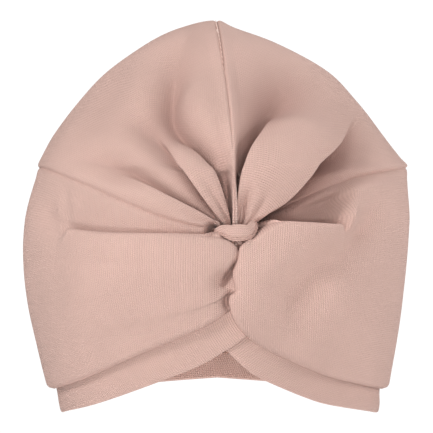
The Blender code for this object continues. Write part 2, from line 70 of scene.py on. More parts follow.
# Relief of the cloth in metres, with its shares and azimuths in degrees
CROWN_PUFF = 0.0030
CROWN_PUFF_AZIMUTH = 32.0
WRAP_PUFF = 0.0030
WRAP_PUFF_EASE = 0.0032
WRAP_PUFF_FALL = 0.030
GATHER_DEPTH = 0.0120
GATHER_WIDTH = 0.0120
SEAM_GROOVE = 0.0012
SEAM_GROOVE_WIDTH = 0.0011
SEAM_EASE = 0.009
SEAM_EASE_SHARE = 0.125
PUCKER = 0.00008
PUCKER_PITCH = 0.0043
PUCKER_REACH = 0.0050
RUMPLE = 0.00022
RUMPLE_SIZE = 0.034
RUMPLE_SEEDS = {"crown": 3.0, "wrap": 9.0, "hem": 15.0}
HEM_RUMPLE_SHARE = 0.5

# Crease between the wraps: how their edges drop and curl in, and how the left one passes in
# under the right below CREASE_TUCK_UP; heights are shares of CAP_HEIGHT
CREASE_ROLL_WIDTH = 0.0045
CREASE_DROP = 0.0034
CREASE_CURL = 0.0018
LOBE_CURL = 0.0034
LOBE_UP = 0.405
CREASE_TUCK = 0.0035
CREASE_TUCK_REACH = 0.0060
CREASE_TUCK_UP = 0.372
CREASE_TUCK_BLEND = 0.025
CREASE_TUCK_BEHIND = 0.5
CURL_COLUMNS = 8
CURL_TURN = 110.0
CURL_RUN = 2.0

# Trough between the last gather and the right lip: depth, and its start, end and fall in metres
TROUGH_DEPTH = 0.0105
TROUGH_START = 0.012
TROUGH_END = 0.046
TROUGH_FALL = 0.056
TROUGH_LEAST_ANGLE = -80.0

# Level sections, as shares of CAP_HEIGHT, HALF_WIDTH (left and right) and the two reaches
SECTIONS = (
    # height, left, right, front, back
    (-0.10, 0.745, 0.775, 0.81, 0.74),
    (0.00, 0.815, 0.840, 0.87, 0.80),
    (0.06, 0.845, 0.855, 0.91, 0.84),
    (0.16, 0.895, 0.890, 0.95, 0.90),
    (0.28, 0.946, 0.926, 0.98, 0.96),
    (0.41, 0.972, 0.952, 0.99, 0.99),
    (0.52, 0.952, 0.967, 0.97, 0.99),
    (0.61, 0.926, 0.979, 0.94, 0.97),
    (0.63, 0.921, 0.978, 0.93, 0.96),
    (0.65, 0.903, 0.940, 0.91, 0.95),
    (0.71, 0.836, 0.845, 0.85, 0.90),
    (0.79, 0.714, 0.720, 0.73, 0.79),
    (0.87, 0.563, 0.568, 0.57, 0.63),
    (0.94, 0.362, 0.308, 0.39, 0.44),
    (0.98, 0.190, 0.095, 0.21, 0.25),
    (1.00, 0.000, 0.000, 0.00, 0.00),
)

# Lines of the front, as shares of HALF_WIDTH across and CAP_HEIGHT up
LEFT_SEAM = (
    # across, up
    (0.000, 0.473),
    (-0.138, 0.478),
    (-0.297, 0.499),
    (-0.508, 0.542),
    (-0.687, 0.581),
    (-0.856, 0.614),
)
RIGHT_SEAM = (
    # across, up
    (0.195, 0.473),
    (0.272, 0.504),
    (0.390, 0.533),
    (0.564, 0.573),
    (0.703, 0.599),
    (0.846, 0.616),
)
LEFT_HEM_FOOT = (
    # across, up
    (0.170, 0.205),
    (0.051, 0.165),
    (-0.135, 0.115),
    (-0.446, 0.056),
    (-0.656, 0.020),
    (-0.790, 0.002),
)
RIGHT_HEM_FOOT = (
    # across, up
    (0.020, 0.176),
    (0.144, 0.120),
    (0.237, 0.089),
    (0.451, 0.0435),
    (0.605, 0.0205),
    (0.800, 0.002),
)
CREASE = (
    # across, up
    (0.060, 0.283),
    (0.067, 0.300),
    (0.093, 0.311),
    (0.083, 0.340),
    (0.081, 0.361),
    (0.101, 0.386),
    (0.110, 0.412),
)
LEFT_LOBE = (
    # across, up
    (0.095, 0.427),
    (0.056, 0.439),
    (0.010, 0.449),
)
RIGHT_LOBE = (
    # across, up
    (0.123, 0.424),
    (0.154, 0.437),
    (0.185, 0.450),
)
LEFT_LIP = (
    # across, up
    (0.010, 0.452),
    (-0.120, 0.4545),
    (-0.510, 0.455),
    (-0.715, 0.4655),
    (-0.800, 0.478),
)
RIGHT_LIP = (
    # across, up
    (0.190, 0.455),
    (0.265, 0.4847),
    (0.420, 0.483),
    (0.598, 0.4775),
    (0.682, 0.480),
    (0.710, 0.480),
)
CREASE_FOOT_ACROSS = 0.070
WRAP_EDGE_BOW = 0.0014

# Lines round the back: azimuth from the front in degrees, and height as a share of CAP_HEIGHT
SEAM_BACK = (
    # azimuth, up
    (90.0, 0.622),
    (120.0, 0.600),
    (150.0, 0.565),
    (180.0, 0.545),
)
HEM_FOOT_BACK = (
    # azimuth, up
    (90.0, 0.000),
    (120.0, 0.022),
    (150.0, 0.060),
    (180.0, 0.078),
)

# Gathers of the crown: angles round the knot seen from the front, 0 right and 90 up, at seven
# ways out; the reach in degrees round the form; shares of GATHER_DEPTH and GATHER_WIDTH; the
# side whose ridge leans over the gather, 1 at greater angles and 0 for none; how broad its
# wall is at the knot and at the end of the reach, as shares of WALL_WIDTH; and the way from
# which its edge is soft
GATHER_WAYS = (4.0, 9.0, 19.0, 33.0, 45.0, 58.0, 78.0)
GATHERS = (
    # seven angles, reach, depth, narrow, broad, edge, near wall, far wall, soft from
    (150, 151.2, 153, 152.1, 153, 153.5, 154, 72, 0.90, 0.14, 0.90, 1, 0.08, 0.7, 46),
    (145, 139, 133.3, 131.4, 131.2, 133.2, 133, 68, 1.00, 0.15, 1.00, -1, 0.08, 0.7, 46),
    (105.0, 106.6, 109.5, 117.0, 119.8, 113.5, 104, 88, 1.45, 0.18, 1.15, 1, 0.10, 1.2, 40),
    (84.0, 86.0, 83.5, 76.8, 74.0, 69.7, 65, 90, 1.90, 0.16, 2.00, -1, 0.10, 1.0, 56),
    (50, 66, 72, 72, 72, 72, 72, 17, 0.42, 0.06, 0.14, 0, 0.05, 0.1, 17),
    (21.5, 22.5, 30.2, 38.2, 39.8, 40.2, 40.5, 88, 1.90, 0.22, 1.55, 1, 0.13, 0.9, 110),
)
TROUGH_GATHER = 5

# How gathers fade at both ends, how soft their floors are, and how the wall beside one closes
# over it: shares, but WALL_WIDTH in metres
GATHER_FADE = 0.5
GATHER_NEAR_SHARE = 0.55
GATHER_RISE = 4.0
GATHER_SOFT = 1.2
GATHER_SOFT_POWER = 1.5
GATHER_LEAST_SOFT = 0.04
RIDGE_SIDE_SHARE = 0.75
WALL_WIDTH = 0.0100
WALL_GROWTH = 1.5
WALL_SHARE = 0.80
WALL_CLOSE = 1.10
WALL_TUCK = 0.35
WALL_SPREAD = 2.5
WALL_SPREAD_WIDTH = 0.2
WALL_SOFTENING = 1.6
LEAST_TURN = 0.2

# Lesser creases beside the gathers near the knot, in the same columns
FINE_GATHERS = (
    # seven angles, reach, depth, narrow, broad, edge, near wall, far wall, soft from
    (165, 164, 163, 163, 163, 163, 163, 26, 0.16, 0.08, 0.20, 0, 0.05, 0.1, 26),
    (122, 121, 123, 124, 124, 124, 124, 24, 0.20, 0.05, 0.20, 0, 0.05, 0.1, 24),
    (99, 98.5, 98, 98, 98, 98, 98, 26, 0.24, 0.05, 0.18, 0, 0.05, 0.1, 26),
    (68, 74, 77, 77, 77, 77, 77, 14, 0.26, 0.04, 0.12, 0, 0.05, 0.1, 14),
    (35, 42, 52, 55, 55, 55, 55, 20, 0.20, 0.07, 0.22, 0, 0.05, 0.1, 20),
)

# Soft furrows, and ridges where the depth is below 0, drawn on the front: their depth and
# half-width in metres, and their points as shares of HALF_WIDTH and CAP_HEIGHT
CROWN_FURROWS = (
    # depth, half_width, points (across, up)
    (0.0048, 0.0085, ((-0.478, 0.888), (-0.550, 0.822), (-0.628, 0.765), (-0.720, 0.706))),
)
WRAP_FURROWS = {
    -1: (
        # depth, half_width, points (across, up)
        (0.0085, 0.0015, ((0.092, 0.380), (0.078, 0.364), (0.055, 0.348), (0.034, 0.330))),
        (0.0042, 0.0060, ((0.050, 0.345), (0.015, 0.318))),
        (0.0062, 0.0016, ((0.070, 0.304), (0.052, 0.293), (0.046, 0.281), (0.058, 0.262))),
        (0.0014, 0.0060, ((-0.150, 0.395), (-0.020, 0.350), (0.010, 0.310))),
        (-0.0045, 0.0200, ((-0.760, 0.345), (-0.450, 0.365), (-0.150, 0.375), (-0.020, 0.390))),
        (0.0036, 0.0060, ((-0.870, 0.540), (-0.840, 0.490), (-0.780, 0.475))),
    ),
    1: (
        # depth, half_width, points (across, up)
        (
            0.0100,
            0.0115,
            ((0.690, 0.447), (0.590, 0.397), (0.475, 0.354), (0.395, 0.297), (0.365, 0.215)),
        ),
        (0.0012, 0.0008, ((0.165, 0.437), (0.232, 0.434))),
        (0.0054, 0.0050, ((0.785, 0.530), (0.768, 0.495), (0.730, 0.461), (0.695, 0.434))),
        (0.0052, 0.0052, ((0.520, 0.523), (0.610, 0.536), (0.690, 0.556), (0.720, 0.566))),
        (-0.0028, 0.0038, ((0.640, 0.524), (0.681, 0.499), (0.692, 0.476), (0.690, 0.442))),
        (-0.0016, 0.0035, ((0.430, 0.530), (0.540, 0.556), (0.658, 0.574), (0.725, 0.566))),
        (-0.0020, 0.0160, ((0.780, 0.400), (0.760, 0.300), (0.700, 0.200))),
        (-0.0016, 0.0080, ((0.180, 0.400), (0.170, 0.330), (0.150, 0.270))),
    ),
}

# How furrows end: their share of depth there, how soon it grows, how softly two stretches of
# one furrow blend, and the depth in metres from the middle of the form where all are gone
FURROW_END = 0.45
FURROW_TAPER = 3.5
FURROW_BLEND = 4.0
FURROW_EASE = 0.024

# Deep hollows beside the knot, as shares of HALF_WIDTH and CAP_HEIGHT, and in metres
PITS = (
    # across, up, radius, depth
    (-0.029, 0.4645, 0.0035, 0.0180),
    (0.235, 0.478, 0.0042, 0.0085),
)

# Gathered ends of the crown behind the loop: columns, the share of their width that they keep,
# the height of their ends as a share of CAP_HEIGHT, how far those lie behind the front, and bow
TAIL_COLUMNS = 8
TAIL_SHARE = 0.95
TAIL_UP = 0.270
TAIL_BEHIND = 0.0090
TAIL_BOW = 0.004

# Painted shade in the depth of the folds, darker and redder cloth there, as parts lost of each
# colour, and the depth in metres where it is whole
FOLD_PAINTED_SHADE = (0.30, 0.37, 0.38)
FOLD_PAINTED_SHADE_DEPTH = 0.026

# The fold of a lip, from the wrap below it over its rolled edge and down behind to the sunk
# strip above it: up along the wrap and out from it, in metres, and how much of the inward
# part each side has
LIP_FOLD = (
    # up, out
    (-0.0160, 0.0012),
    (-0.0090, 0.0030),
    (-0.0040, 0.0042),
    (-0.0014, 0.0040),
    (0.0002, 0.0024),
    (-0.0010, 0.0004),
    (-0.0028, -0.0016),
    (-0.0034, -0.0042),
    (-0.0016, -0.0056),
    (0.0012, -0.0050),
    (0.0045, -0.0030),
)
LIP_INWARD = {-1: 0.75, 1: 1.0}

# Where a lip fades out, how low and high it may lie on its wrap, the strip sunk behind it, and
# the rows and columns whose inner face is the face of folded cloth
LIP_FADE_AZIMUTH = {-1: 9.0, 1: 6.0}
LIP_LOBE_SHARE = 0.60
LIP_LOBE_REACH = 0.013
LIP_LEAST = 0.2
LIP_MOST = 0.97
STRIP_SHARE = 0.55
STRIP_FROM = 0.45
STRIP_OVER = 0.3
SEAM_OUT_SHARE = 0.25
FOLDED_ROWS = 4
FOLDED_COLUMNS = 48

# Grid sizes of the pieces, how much closer together their lines lie near the knot, and the
# steps and least values of the working
CROWN_CELLS = 168
FEWEST_CELLS = 12
CROWN_ALONG = 210
CROWN_CORNER_AZIMUTH = 128.0
CROWN_CROWDING = 1.2
CENTRE_ANGLE = 95.0
FOLD_CROWDING = 0.75
WRAP_ALONG = 210
WRAP_BELOW = 64
WRAP_LIP = 30
WRAP_ABOVE = 20
WRAP_CROWDING = 1.5
HEM_ALONG = 230
HEM_UP = 14
HEM_CROWDING = 1.2
DENSE = 320
RAY_STEPS = 36
LEAST_SHARE = 0.02
LEAST_RADIUS = 1e-6
STEEP_RAY = 0.8
NORMAL_TURN = 0.02
WRAP_EDGE_POINTS = 5
SHARP_ANGLE = 70.0


def smooth_step(value):
    """0 below 0, 1 above 1, and an S-curve between."""
    share = np.clip(value, 0.0, 1.0)
    return share * share * (3.0 - 2.0 * share)


def unit(vectors):
    return vectors / np.linalg.norm(vectors, axis=-1, keepdims=True)


def through(rows, count):
    """Points on a smooth curve through the rows, spaced evenly by row."""
    rows = np.array(rows, float)
    padded = np.vstack([2 * rows[0] - rows[1], rows, 2 * rows[-1] - rows[-2]])
    place = np.linspace(0.0, len(rows) - 1.0, count)
    index = np.minimum(place.astype(int), len(rows) - 2)
    share = (place - index)[:, None]
    before, start, end, after = (padded[index + step] for step in range(4))
    return 0.5 * (
        2 * start
        + (end - before) * share
        + (2 * before - 5 * start + 4 * end - after) * share**2
        + (3 * start - before - 3 * end + after) * share**3
    )


def dense_sections():
    """The level sections as a dense table in metres, with a level tangent at the top."""
    scale = np.array([CAP_HEIGHT, HALF_WIDTH, HALF_WIDTH, FRONT_REACH, BACK_REACH])
    rows = np.array(SECTIONS) * scale
    mirrored = rows[-2] * np.array([1.0, -1.0, -1.0, -1.0, -1.0])
    dense = through(np.vstack([rows, mirrored]), DENSE * len(rows) + 1)
    dense = dense[: DENSE * (len(rows) - 1) + 1]
    dense[:, 0] = np.maximum.accumulate(dense[:, 0])
    return np.maximum(dense, [-np.inf] + [LEAST_RADIUS] * 4)


FORM = dense_sections()
KNOT = np.array([KNOT_ACROSS * HALF_WIDTH, 0.0, KNOT_UP * CAP_HEIGHT])


def half_width(x, z):
    """Half-width of the level section at height z, on the side where x lies."""
    left = np.interp(z, FORM[:, 0], FORM[:, 1])
    right = np.interp(z, FORM[:, 0], FORM[:, 2])
    return np.where(x < 0, left, right)


def half_depth(y, z):
    """Half-depth of the level section at height z, towards the front or the back."""
    front = np.interp(z, FORM[:, 0], FORM[:, 3])
    back = np.interp(z, FORM[:, 0], FORM[:, 4])
    return np.where(y < 0, front, back)


def on_form(directions):
    """Where rays from the middle of the form, behind the knot, meet the smooth form."""
    ray = unit(directions)
    near = np.zeros(ray.shape[:-1])
    far = np.full(ray.shape[:-1], 2.0 * max(CAP_HEIGHT, HALF_WIDTH, FRONT_REACH, BACK_REACH))
    for _ in range(RAY_STEPS):
        middle = (near + far) / 2
        x, y, z = np.moveaxis(KNOT + ray * middle[..., None], -1, 0)
        spread = (x / half_width(x, z)) ** 2 + (y / half_depth(y, z)) ** 2
        inside = (spread < 1.0) & (z < CAP_HEIGHT)
        near = np.where(inside, middle, near)
        far = np.where(inside, far, middle)
    return KNOT + ray * near[..., None]


def normals_at(points):
    """Outward unit normals of the smooth form at these points of it."""
    ray = unit(points - KNOT)
    level = np.where(np.abs(ray[..., 2:3]) < STEEP_RAY, [0.0, 0.0, 1.0], [1.0, 0.0, 0.0])
    side = unit(np.cross(level, ray))
    rise = np.cross(ray, side)
    along = on_form(ray + side * NORMAL_TURN) - on_form(ray - side * NORMAL_TURN)
    up = on_form(ray + rise * NORMAL_TURN) - on_form(ray - rise * NORMAL_TURN)
    return unit(np.cross(along, up))


def azimuth_of(across, up):
    """Azimuth in degrees of a front point given in shares: 0 front, 90 right, -90 left."""
    x = across * HALF_WIDTH
    return np.degrees(np.arcsin(np.clip(x / half_width(x, up * CAP_HEIGHT), -1, 1)))


def front_line(rows):
    """A front line as points of azimuth in degrees and height in metres."""
    rows = np.array(rows, float)
    return np.column_stack([azimuth_of(rows[:, 0], rows[:, 1]), rows[:, 1] * CAP_HEIGHT])


def round_line(front_rows, back_rows, side):
    """A line from the front round one side to the middle of the back."""
    back = np.array(back_rows, float) * [side, CAP_HEIGHT]
    return through(np.vstack([front_line(front_rows), back]), 3 * DENSE)


def at_azimuth(line, azimuth):
    """Height of a line at these azimuths."""
    order = np.argsort(line[:, 0])
    return np.interp(azimuth, line[order, 0], line[order, 1])


def degrees_along(length):
    """Azimuth that a length takes up on the widest section."""
    return math.degrees(length / HALF_WIDTH)


def placed(azimuth, height):
    """Points of the smooth form at these azimuths and heights."""
    angle = np.radians(azimuth)
    x, y = np.sin(angle), -np.cos(angle)
    return np.stack(
        [x * half_width(x, height), y * half_depth(y, height), height], axis=-1
    )


def coons(start, end, foot, top, across, up):
    """A grid filled between four sides: start and end run up, foot and top run across."""
    across, up = across[:, None, None], up[None, :, None]
    corners = (
        (1 - across) * (1 - up) * foot[0]
        + across * (1 - up) * foot[-1]
        + (1 - across) * up * top[0]
        + across * up * top[-1]
    )
    return (
        (1 - up) * foot[:, None, :]
        + up * top[:, None, :]
        + (1 - across) * start[None, :, :]
        + across * end[None, :, :]
        - corners
    )


def resampled(line, shares):
    """Points of a line at these shares of its length."""
    length = np.concatenate([[0.0], np.cumsum(np.linalg.norm(np.diff(line, axis=0), axis=1))])
    length = length / length[-1]
    return np.column_stack([np.interp(shares, length, column) for column in line.T])


def resampled_round(line, shares):
    """The same for a line of azimuths and heights, by its length on the form."""
    scale = np.array([degrees_along(1.0), 1.0])
    return resampled(line / scale, shares) * scale


def around_knot(points):
    """Angle round the knot seen from the front, way round the form, and distance out."""
    out = points - KNOT
    distance = np.hypot(out[..., 0], out[..., 2])
    angle = np.degrees(np.arctan2(out[..., 2], out[..., 0]))
    way = np.degrees(np.arctan2(distance, -out[..., 1]))
    return angle, way, distance


def knot_sink(points):
    """How far the cloth is drawn in round the knot, as a negative relief."""
    _, way, distance = around_knot(points)
    drawn = np.exp(-((distance / KNOT_SINK_RADIUS) ** 2))
    return np.where(way < 90.0, -KNOT_SINK * drawn, 0.0)


def gather_line(gather, way):
    """The angle at which one gather lies, this far round the form."""
    ways = len(GATHER_WAYS)
    path = through(np.column_stack([GATHER_WAYS, gather[:ways]]), DENSE)
    return np.interp(way, path[:, 0], path[:, 1])


def wall_width(gather, share):
    """How broad the wall beside one gather is at this share of its reach."""
    near_wall, far_wall = gather[-3:-1]
    return WALL_WIDTH * (near_wall + (far_wall - near_wall) * share**WALL_GROWTH)


def gather_fold(points, gather):
    """How deep one gather lies below the crown at these points, and how far they move along
    the crown towards greater angles: a soft side, and a ridge that leans over the gather."""
    reach, depth, narrow, broad, edge = gather[len(GATHER_WAYS) : -3]
    angle, way, distance = around_knot(points)
    share = np.clip(way / reach, 0.0, 1.0)
    width = GATHER_WIDTH * (narrow + (broad - narrow) * share)
    across = np.radians(angle - gather_line(gather, way)) * distance
    soft = GATHER_SOFT * share**GATHER_SOFT_POWER + GATHER_LEAST_SOFT
    off = across * edge
    width = width * np.where(off > 0, 1 - (1 - RIDGE_SIDE_SHARE) * share, 1.0)
    fall = np.exp(soft - np.sqrt((across / width) ** 2 + soft**2))
    near = GATHER_NEAR_SHARE + (1 - GATHER_NEAR_SHARE) * smooth_step(GATHER_RISE * share)
    fade = smooth_step((1 - share) / GATHER_FADE) * near
    if edge == 0:
        return GATHER_DEPTH * depth * fade * fall, np.zeros(share.shape)
    steep = wall_width(gather, share)
    climb = smooth_step(off / steep)
    closed = smooth_step(WALL_SOFTENING * (1 - way / gather[-1]))
    crisp = WALL_SHARE * closed
    ridge = crisp * (1 - climb) + (1 - crisp) * fall
    deep = GATHER_DEPTH * depth * fade * np.where(off > 0, ridge, fall)
    close = WALL_CLOSE * steep * closed
    tuck = WALL_TUCK * steep * closed
    spread = WALL_SPREAD * steep + WALL_SPREAD_WIDTH * width
    leaning = -close * np.exp(-np.maximum(off - steep, 0.0) / spread)
    under = tuck * np.exp(-np.maximum(-off, 0.0) / spread)
    slide = np.where(off > 0, tuck * (1 - climb) + leaning * climb, under)
    return deep, edge * slide * fade


def trough_depth(points):
    """How far the cloth is drawn in at the last gather and from there to the right lip."""
    gather = GATHERS[TROUGH_GATHER]
    angle, way, distance = around_knot(points)
    share = np.clip(way / gather[len(GATHER_WAYS)], 0.0, 1.0)
    above = np.radians(angle - gather_line(gather, way)) * distance / wall_width(gather, share)
    along = smooth_step(distance / TROUGH_START)
    along = along * (1 - smooth_step((distance - TROUGH_END) / TROUGH_FALL))
    drawn = TROUGH_DEPTH * along * (1 - smooth_step(above)) + gather_fold(points, gather)[0]
    return np.where((way < 90.0) & (angle > TROUGH_LEAST_ANGLE), drawn, 0.0)


def pit_depth(points):
    """How far the hollows beside the knot go in."""
    depth = np.zeros(points.shape[:-1])
    for across, up, radius, deep in PITS:
        x = points[..., 0] - across * HALF_WIDTH
        z = points[..., 2] - up * CAP_HEIGHT
        depth += deep * np.exp(-(((x**2 + z**2) / radius**2) ** 2))
    return np.where(points[..., 1] < 0, depth, 0.0)


def hollowed(points):
    """The trough and the hollows as moves towards the middle of the form, where no two meet."""
    return -unit(points - KNOT) * (trough_depth(points) + pit_depth(points))[..., None]


def furrow_depth(points, furrows):
    """How deep these furrows lie at these points of the front."""
    depth = np.zeros(points.shape[:-1])
    scale = np.array([HALF_WIDTH, CAP_HEIGHT])
    place = points[..., None, [0, 2]]
    for deep, half_width_there, line in furrows:
        line = through(np.array(line) * scale, 8 * len(line))
        step = np.diff(line, axis=0)
        away = place - line[:-1]
        share = np.clip(np.sum(away * step, axis=-1) / np.sum(step**2, axis=-1), 0.0, 1.0)
        off = np.sum((away - share[..., None] * step) ** 2, axis=-1) / half_width_there**2
        at = (np.arange(len(step)) + share) / len(step)
        taper = smooth_step(FURROW_TAPER * np.minimum(at, 1 - at))
        taper = FURROW_END + (1 - FURROW_END) * taper
        weight = np.exp(FURROW_BLEND * (np.min(off, axis=-1, keepdims=True) - off))
        drawn = np.sum(weight * taper * np.exp(-off), axis=-1) / np.sum(weight, axis=-1)
        depth += deep * drawn
    return depth * smooth_step(-points[..., 1] / FURROW_EASE)


def tail(outer):
    """The crown's edge at the knot drawn together and down behind the loop."""
    edge = outer[:, :1]
    height = TAIL_UP * CAP_HEIGHT
    end = edge.copy()
    end[..., 0] = KNOT[0] + TAIL_SHARE * (edge[..., 0] - KNOT[0])
    end[..., 1] = TAIL_BEHIND - FRONT_REACH
    end[..., 2] = height
    share = (np.arange(TAIL_COLUMNS) / TAIL_COLUMNS)[::-1][None, :, None]
    share = share + 1 / TAIL_COLUMNS
    bow = np.array([0.0, TAIL_BOW, 0.0]) * 4 * share * (1 - share)
    return edge + (end - edge) * share + bow


def slid(points, normals, slide):
    """The points moved along the form, round the knot towards greater angles."""
    angle = np.radians(around_knot(points)[0])
    turn = np.stack([-np.sin(angle), np.zeros(angle.shape), np.cos(angle)], axis=-1)
    turn = turn - normals * np.sum(turn * normals, axis=-1, keepdims=True)
    size = np.maximum(np.linalg.norm(turn, axis=-1, keepdims=True), LEAST_TURN)
    return points + turn / size * slide[..., None]


def rumple(points, seed):
    """Soft unevenness of cloth from about -1 to 1."""
    flat = points.reshape(-1, 3) / RUMPLE_SIZE + seed
    values = [noise.noise(Vector(row)) for row in flat]
    return 2.0 * np.array(values).reshape(points.shape[:-1])


def stepped(stops, cells):
    """Values from each stop to the next in this many cells, closer together near the stops."""
    parts = [stops[..., :1]]
    for index, count in enumerate(cells):
        share = np.arange(1, count + 1) / count
        share = share + FOLD_CROWDING * (smooth_step(share) - share)
        start, end = stops[..., index, None], stops[..., index + 1, None]
        parts.append(start + (end - start) * share)
    return np.concatenate(parts, axis=-1)


def row_picked(grid, places):
    """Rows of a dense grid, read at fractional places along its first axis."""
    index = np.clip(places.astype(int), 0, len(grid) - 2)
    share = (places - index)[..., None]
    column = np.arange(grid.shape[1])[None, :]
    return grid[index, column] * (1 - share) + grid[index + 1, column] * share


def first_crossing(columns):
    """The fractional row at which each rising column of values first reaches zero."""
    rows = np.arange(len(columns))
    return np.array([np.interp(0.0, np.maximum.accumulate(c), rows) for c in columns.T])


def run_along(points):
    """Distance run from the first row of a grid of points."""
    step = np.linalg.norm(np.diff(points, axis=0), axis=2)
    return np.concatenate([np.zeros((1, step.shape[1])), np.cumsum(step, axis=0)])


def grid_normals(points):
    """Unit normals of a grid of points."""
    across = np.cross(np.gradient(points, axis=0), np.gradient(points, axis=1))
    size = np.linalg.norm(across, axis=-1, keepdims=True)
    return across / np.maximum(size, 1e-12)


def seam_line(side):
    """The seam between the crown and one wrap, from the knot round to the back."""
    return round_line(LEFT_SEAM if side < 0 else RIGHT_SEAM, SEAM_BACK, side)


def hem_foot_line(side):
    """The lower edge of one hem, which is also the edge of the head opening."""
    return round_line(LEFT_HEM_FOOT if side < 0 else RIGHT_HEM_FOOT, HEM_FOOT_BACK, side)


def hem_top_line(side):
    """The upper edge of one hem, a hem's width above its foot."""
    line = hem_foot_line(side)
    nearness = smooth_step(1 - np.abs(line[:, 0]) / HEM_SPREAD_AZIMUTH)
    line[:, 1] += HEM_WIDTH * (1 + HEM_SPREAD[side] * nearness)
    return line


def meeting(left, right):
    """Where a line of the left side meets one of the right, as azimuth and height."""
    azimuth = np.linspace(right[0, 0], left[0, 0], DENSE)
    apart = at_azimuth(left, azimuth) - at_azimuth(right, azimuth)
    place = np.interp(0.0, apart, azimuth)
    return np.array([place, at_azimuth(left, place)])


def crease_foot():
    """Where the crease between the wraps meets the top of the left hem."""
    line = hem_top_line(-1)
    up = line[0, 1] / CAP_HEIGHT
    azimuth = azimuth_of(np.array(CREASE_FOOT_ACROSS), np.array(up))
    return np.array([azimuth, at_azimuth(line, azimuth)])


def wrap_edge():
    """The right wrap's edge over the left hem, from the right hem up to the crease."""
    foot, top = meeting(hem_foot_line(-1), hem_top_line(1)), crease_foot()
    share = np.linspace(0.0, 1.0, WRAP_EDGE_POINTS)[:, None]
    bow = np.array([-degrees_along(WRAP_EDGE_BOW), 0.0])
    return foot + (top - foot) * share + bow * 4 * share * (1 - share)


def centre_seam_directions(shares):
    """Directions of the seam that runs from the knot over the top to the back."""
    foot = front_line([(KNOT_ACROSS, LEFT_SEAM[0][1])])
    start = placed(foot[:, 0], foot[:, 1])[0] - KNOT
    back = placed(np.array(180.0), np.array(SEAM_BACK[-1][1] * CAP_HEIGHT)) - KNOT
    first = math.atan2(start[2], -start[1])
    last = math.atan2(back[2], -back[1])
    turn = first + (last - first) * shares
    slide = smooth_step(turn / math.radians(CENTRE_ANGLE))
    sideways = start[0] + (-KNOT[0] - start[0]) * slide
    up_and_over = FRONT_REACH * np.stack([-np.cos(turn), np.sin(turn)])
    return np.stack([sideways, *up_and_over], axis=-1)


def gathered_places(dense, side):
    """Where the crown's grid lines cross its dense grid, so that a line follows each gather."""
    angle, way, _ = around_knot(KNOT + dense)
    last = len(dense) - 1
    least = last * LEAST_SHARE
    gathers = [g for g in GATHERS if (g[1] - CENTRE_ANGLE) * side < 0]
    gathers.sort(key=lambda gather: side * gather[1])
    stops = [np.zeros(dense.shape[1])]
    for gather in gathers:
        off = side * (angle - gather_line(gather, way))
        stops.append(np.clip(first_crossing(off), stops[-1] + least, last))
    stops.append(np.full(dense.shape[1], float(last)))
    for index in range(len(gathers), 0, -1):
        stops[index] = np.minimum(stops[index], stops[index + 1] - least)
    widths = np.sqrt(np.mean(np.diff(stops, axis=0), axis=1))
    cells = np.maximum(FEWEST_CELLS, np.round(CROWN_CELLS * widths / widths.sum())).astype(int)
    return stepped(np.stack(stops, axis=-1), cells).T


def crown_points(side):
    """The grid of one crown half on the smooth form, from its wrap seam to the centre seam."""
    seam = seam_line(side)
    seam_points = placed(seam[:, 0], seam[:, 1] - SEAM_LAP)
    corner = int(np.argmin(np.abs(np.abs(seam[:, 0]) - CROWN_CORNER_AZIMUTH)))
    across = np.linspace(0.0, 1.0, DENSE + 1)
    along = np.linspace(0.0, 1.0, CROWN_ALONG + 1) ** CROWN_CROWDING
    seam_side = unit(resampled(seam_points[: corner + 1], along) - KNOT)
    centre_points = on_form(centre_seam_directions(along))
    centre_points[:, 0] -= side * SEAM_LAP
    centre = unit(centre_points - KNOT)
    back = unit(resampled(seam_points[corner:], across) - KNOT)
    back[-1] = centre[-1]
    knot_points = seam_points[0] + (centre_points[0] - seam_points[0]) * across[:, None]
    dense = coons(seam_side, centre, unit(knot_points - KNOT), back, across, along)
    return on_form(row_picked(dense, gathered_places(dense, side)))


def seam_relief(from_seam, along):
    """The sewn line's groove with the small puckers of its stitching beside it."""
    groove = SEAM_GROOVE * np.exp(-((from_seam / SEAM_GROOVE_WIDTH) ** 2))
    ripple = np.sin(2 * math.pi * along / PUCKER_PITCH) * np.exp(-from_seam / PUCKER_REACH)
    return PUCKER * ripple - groove


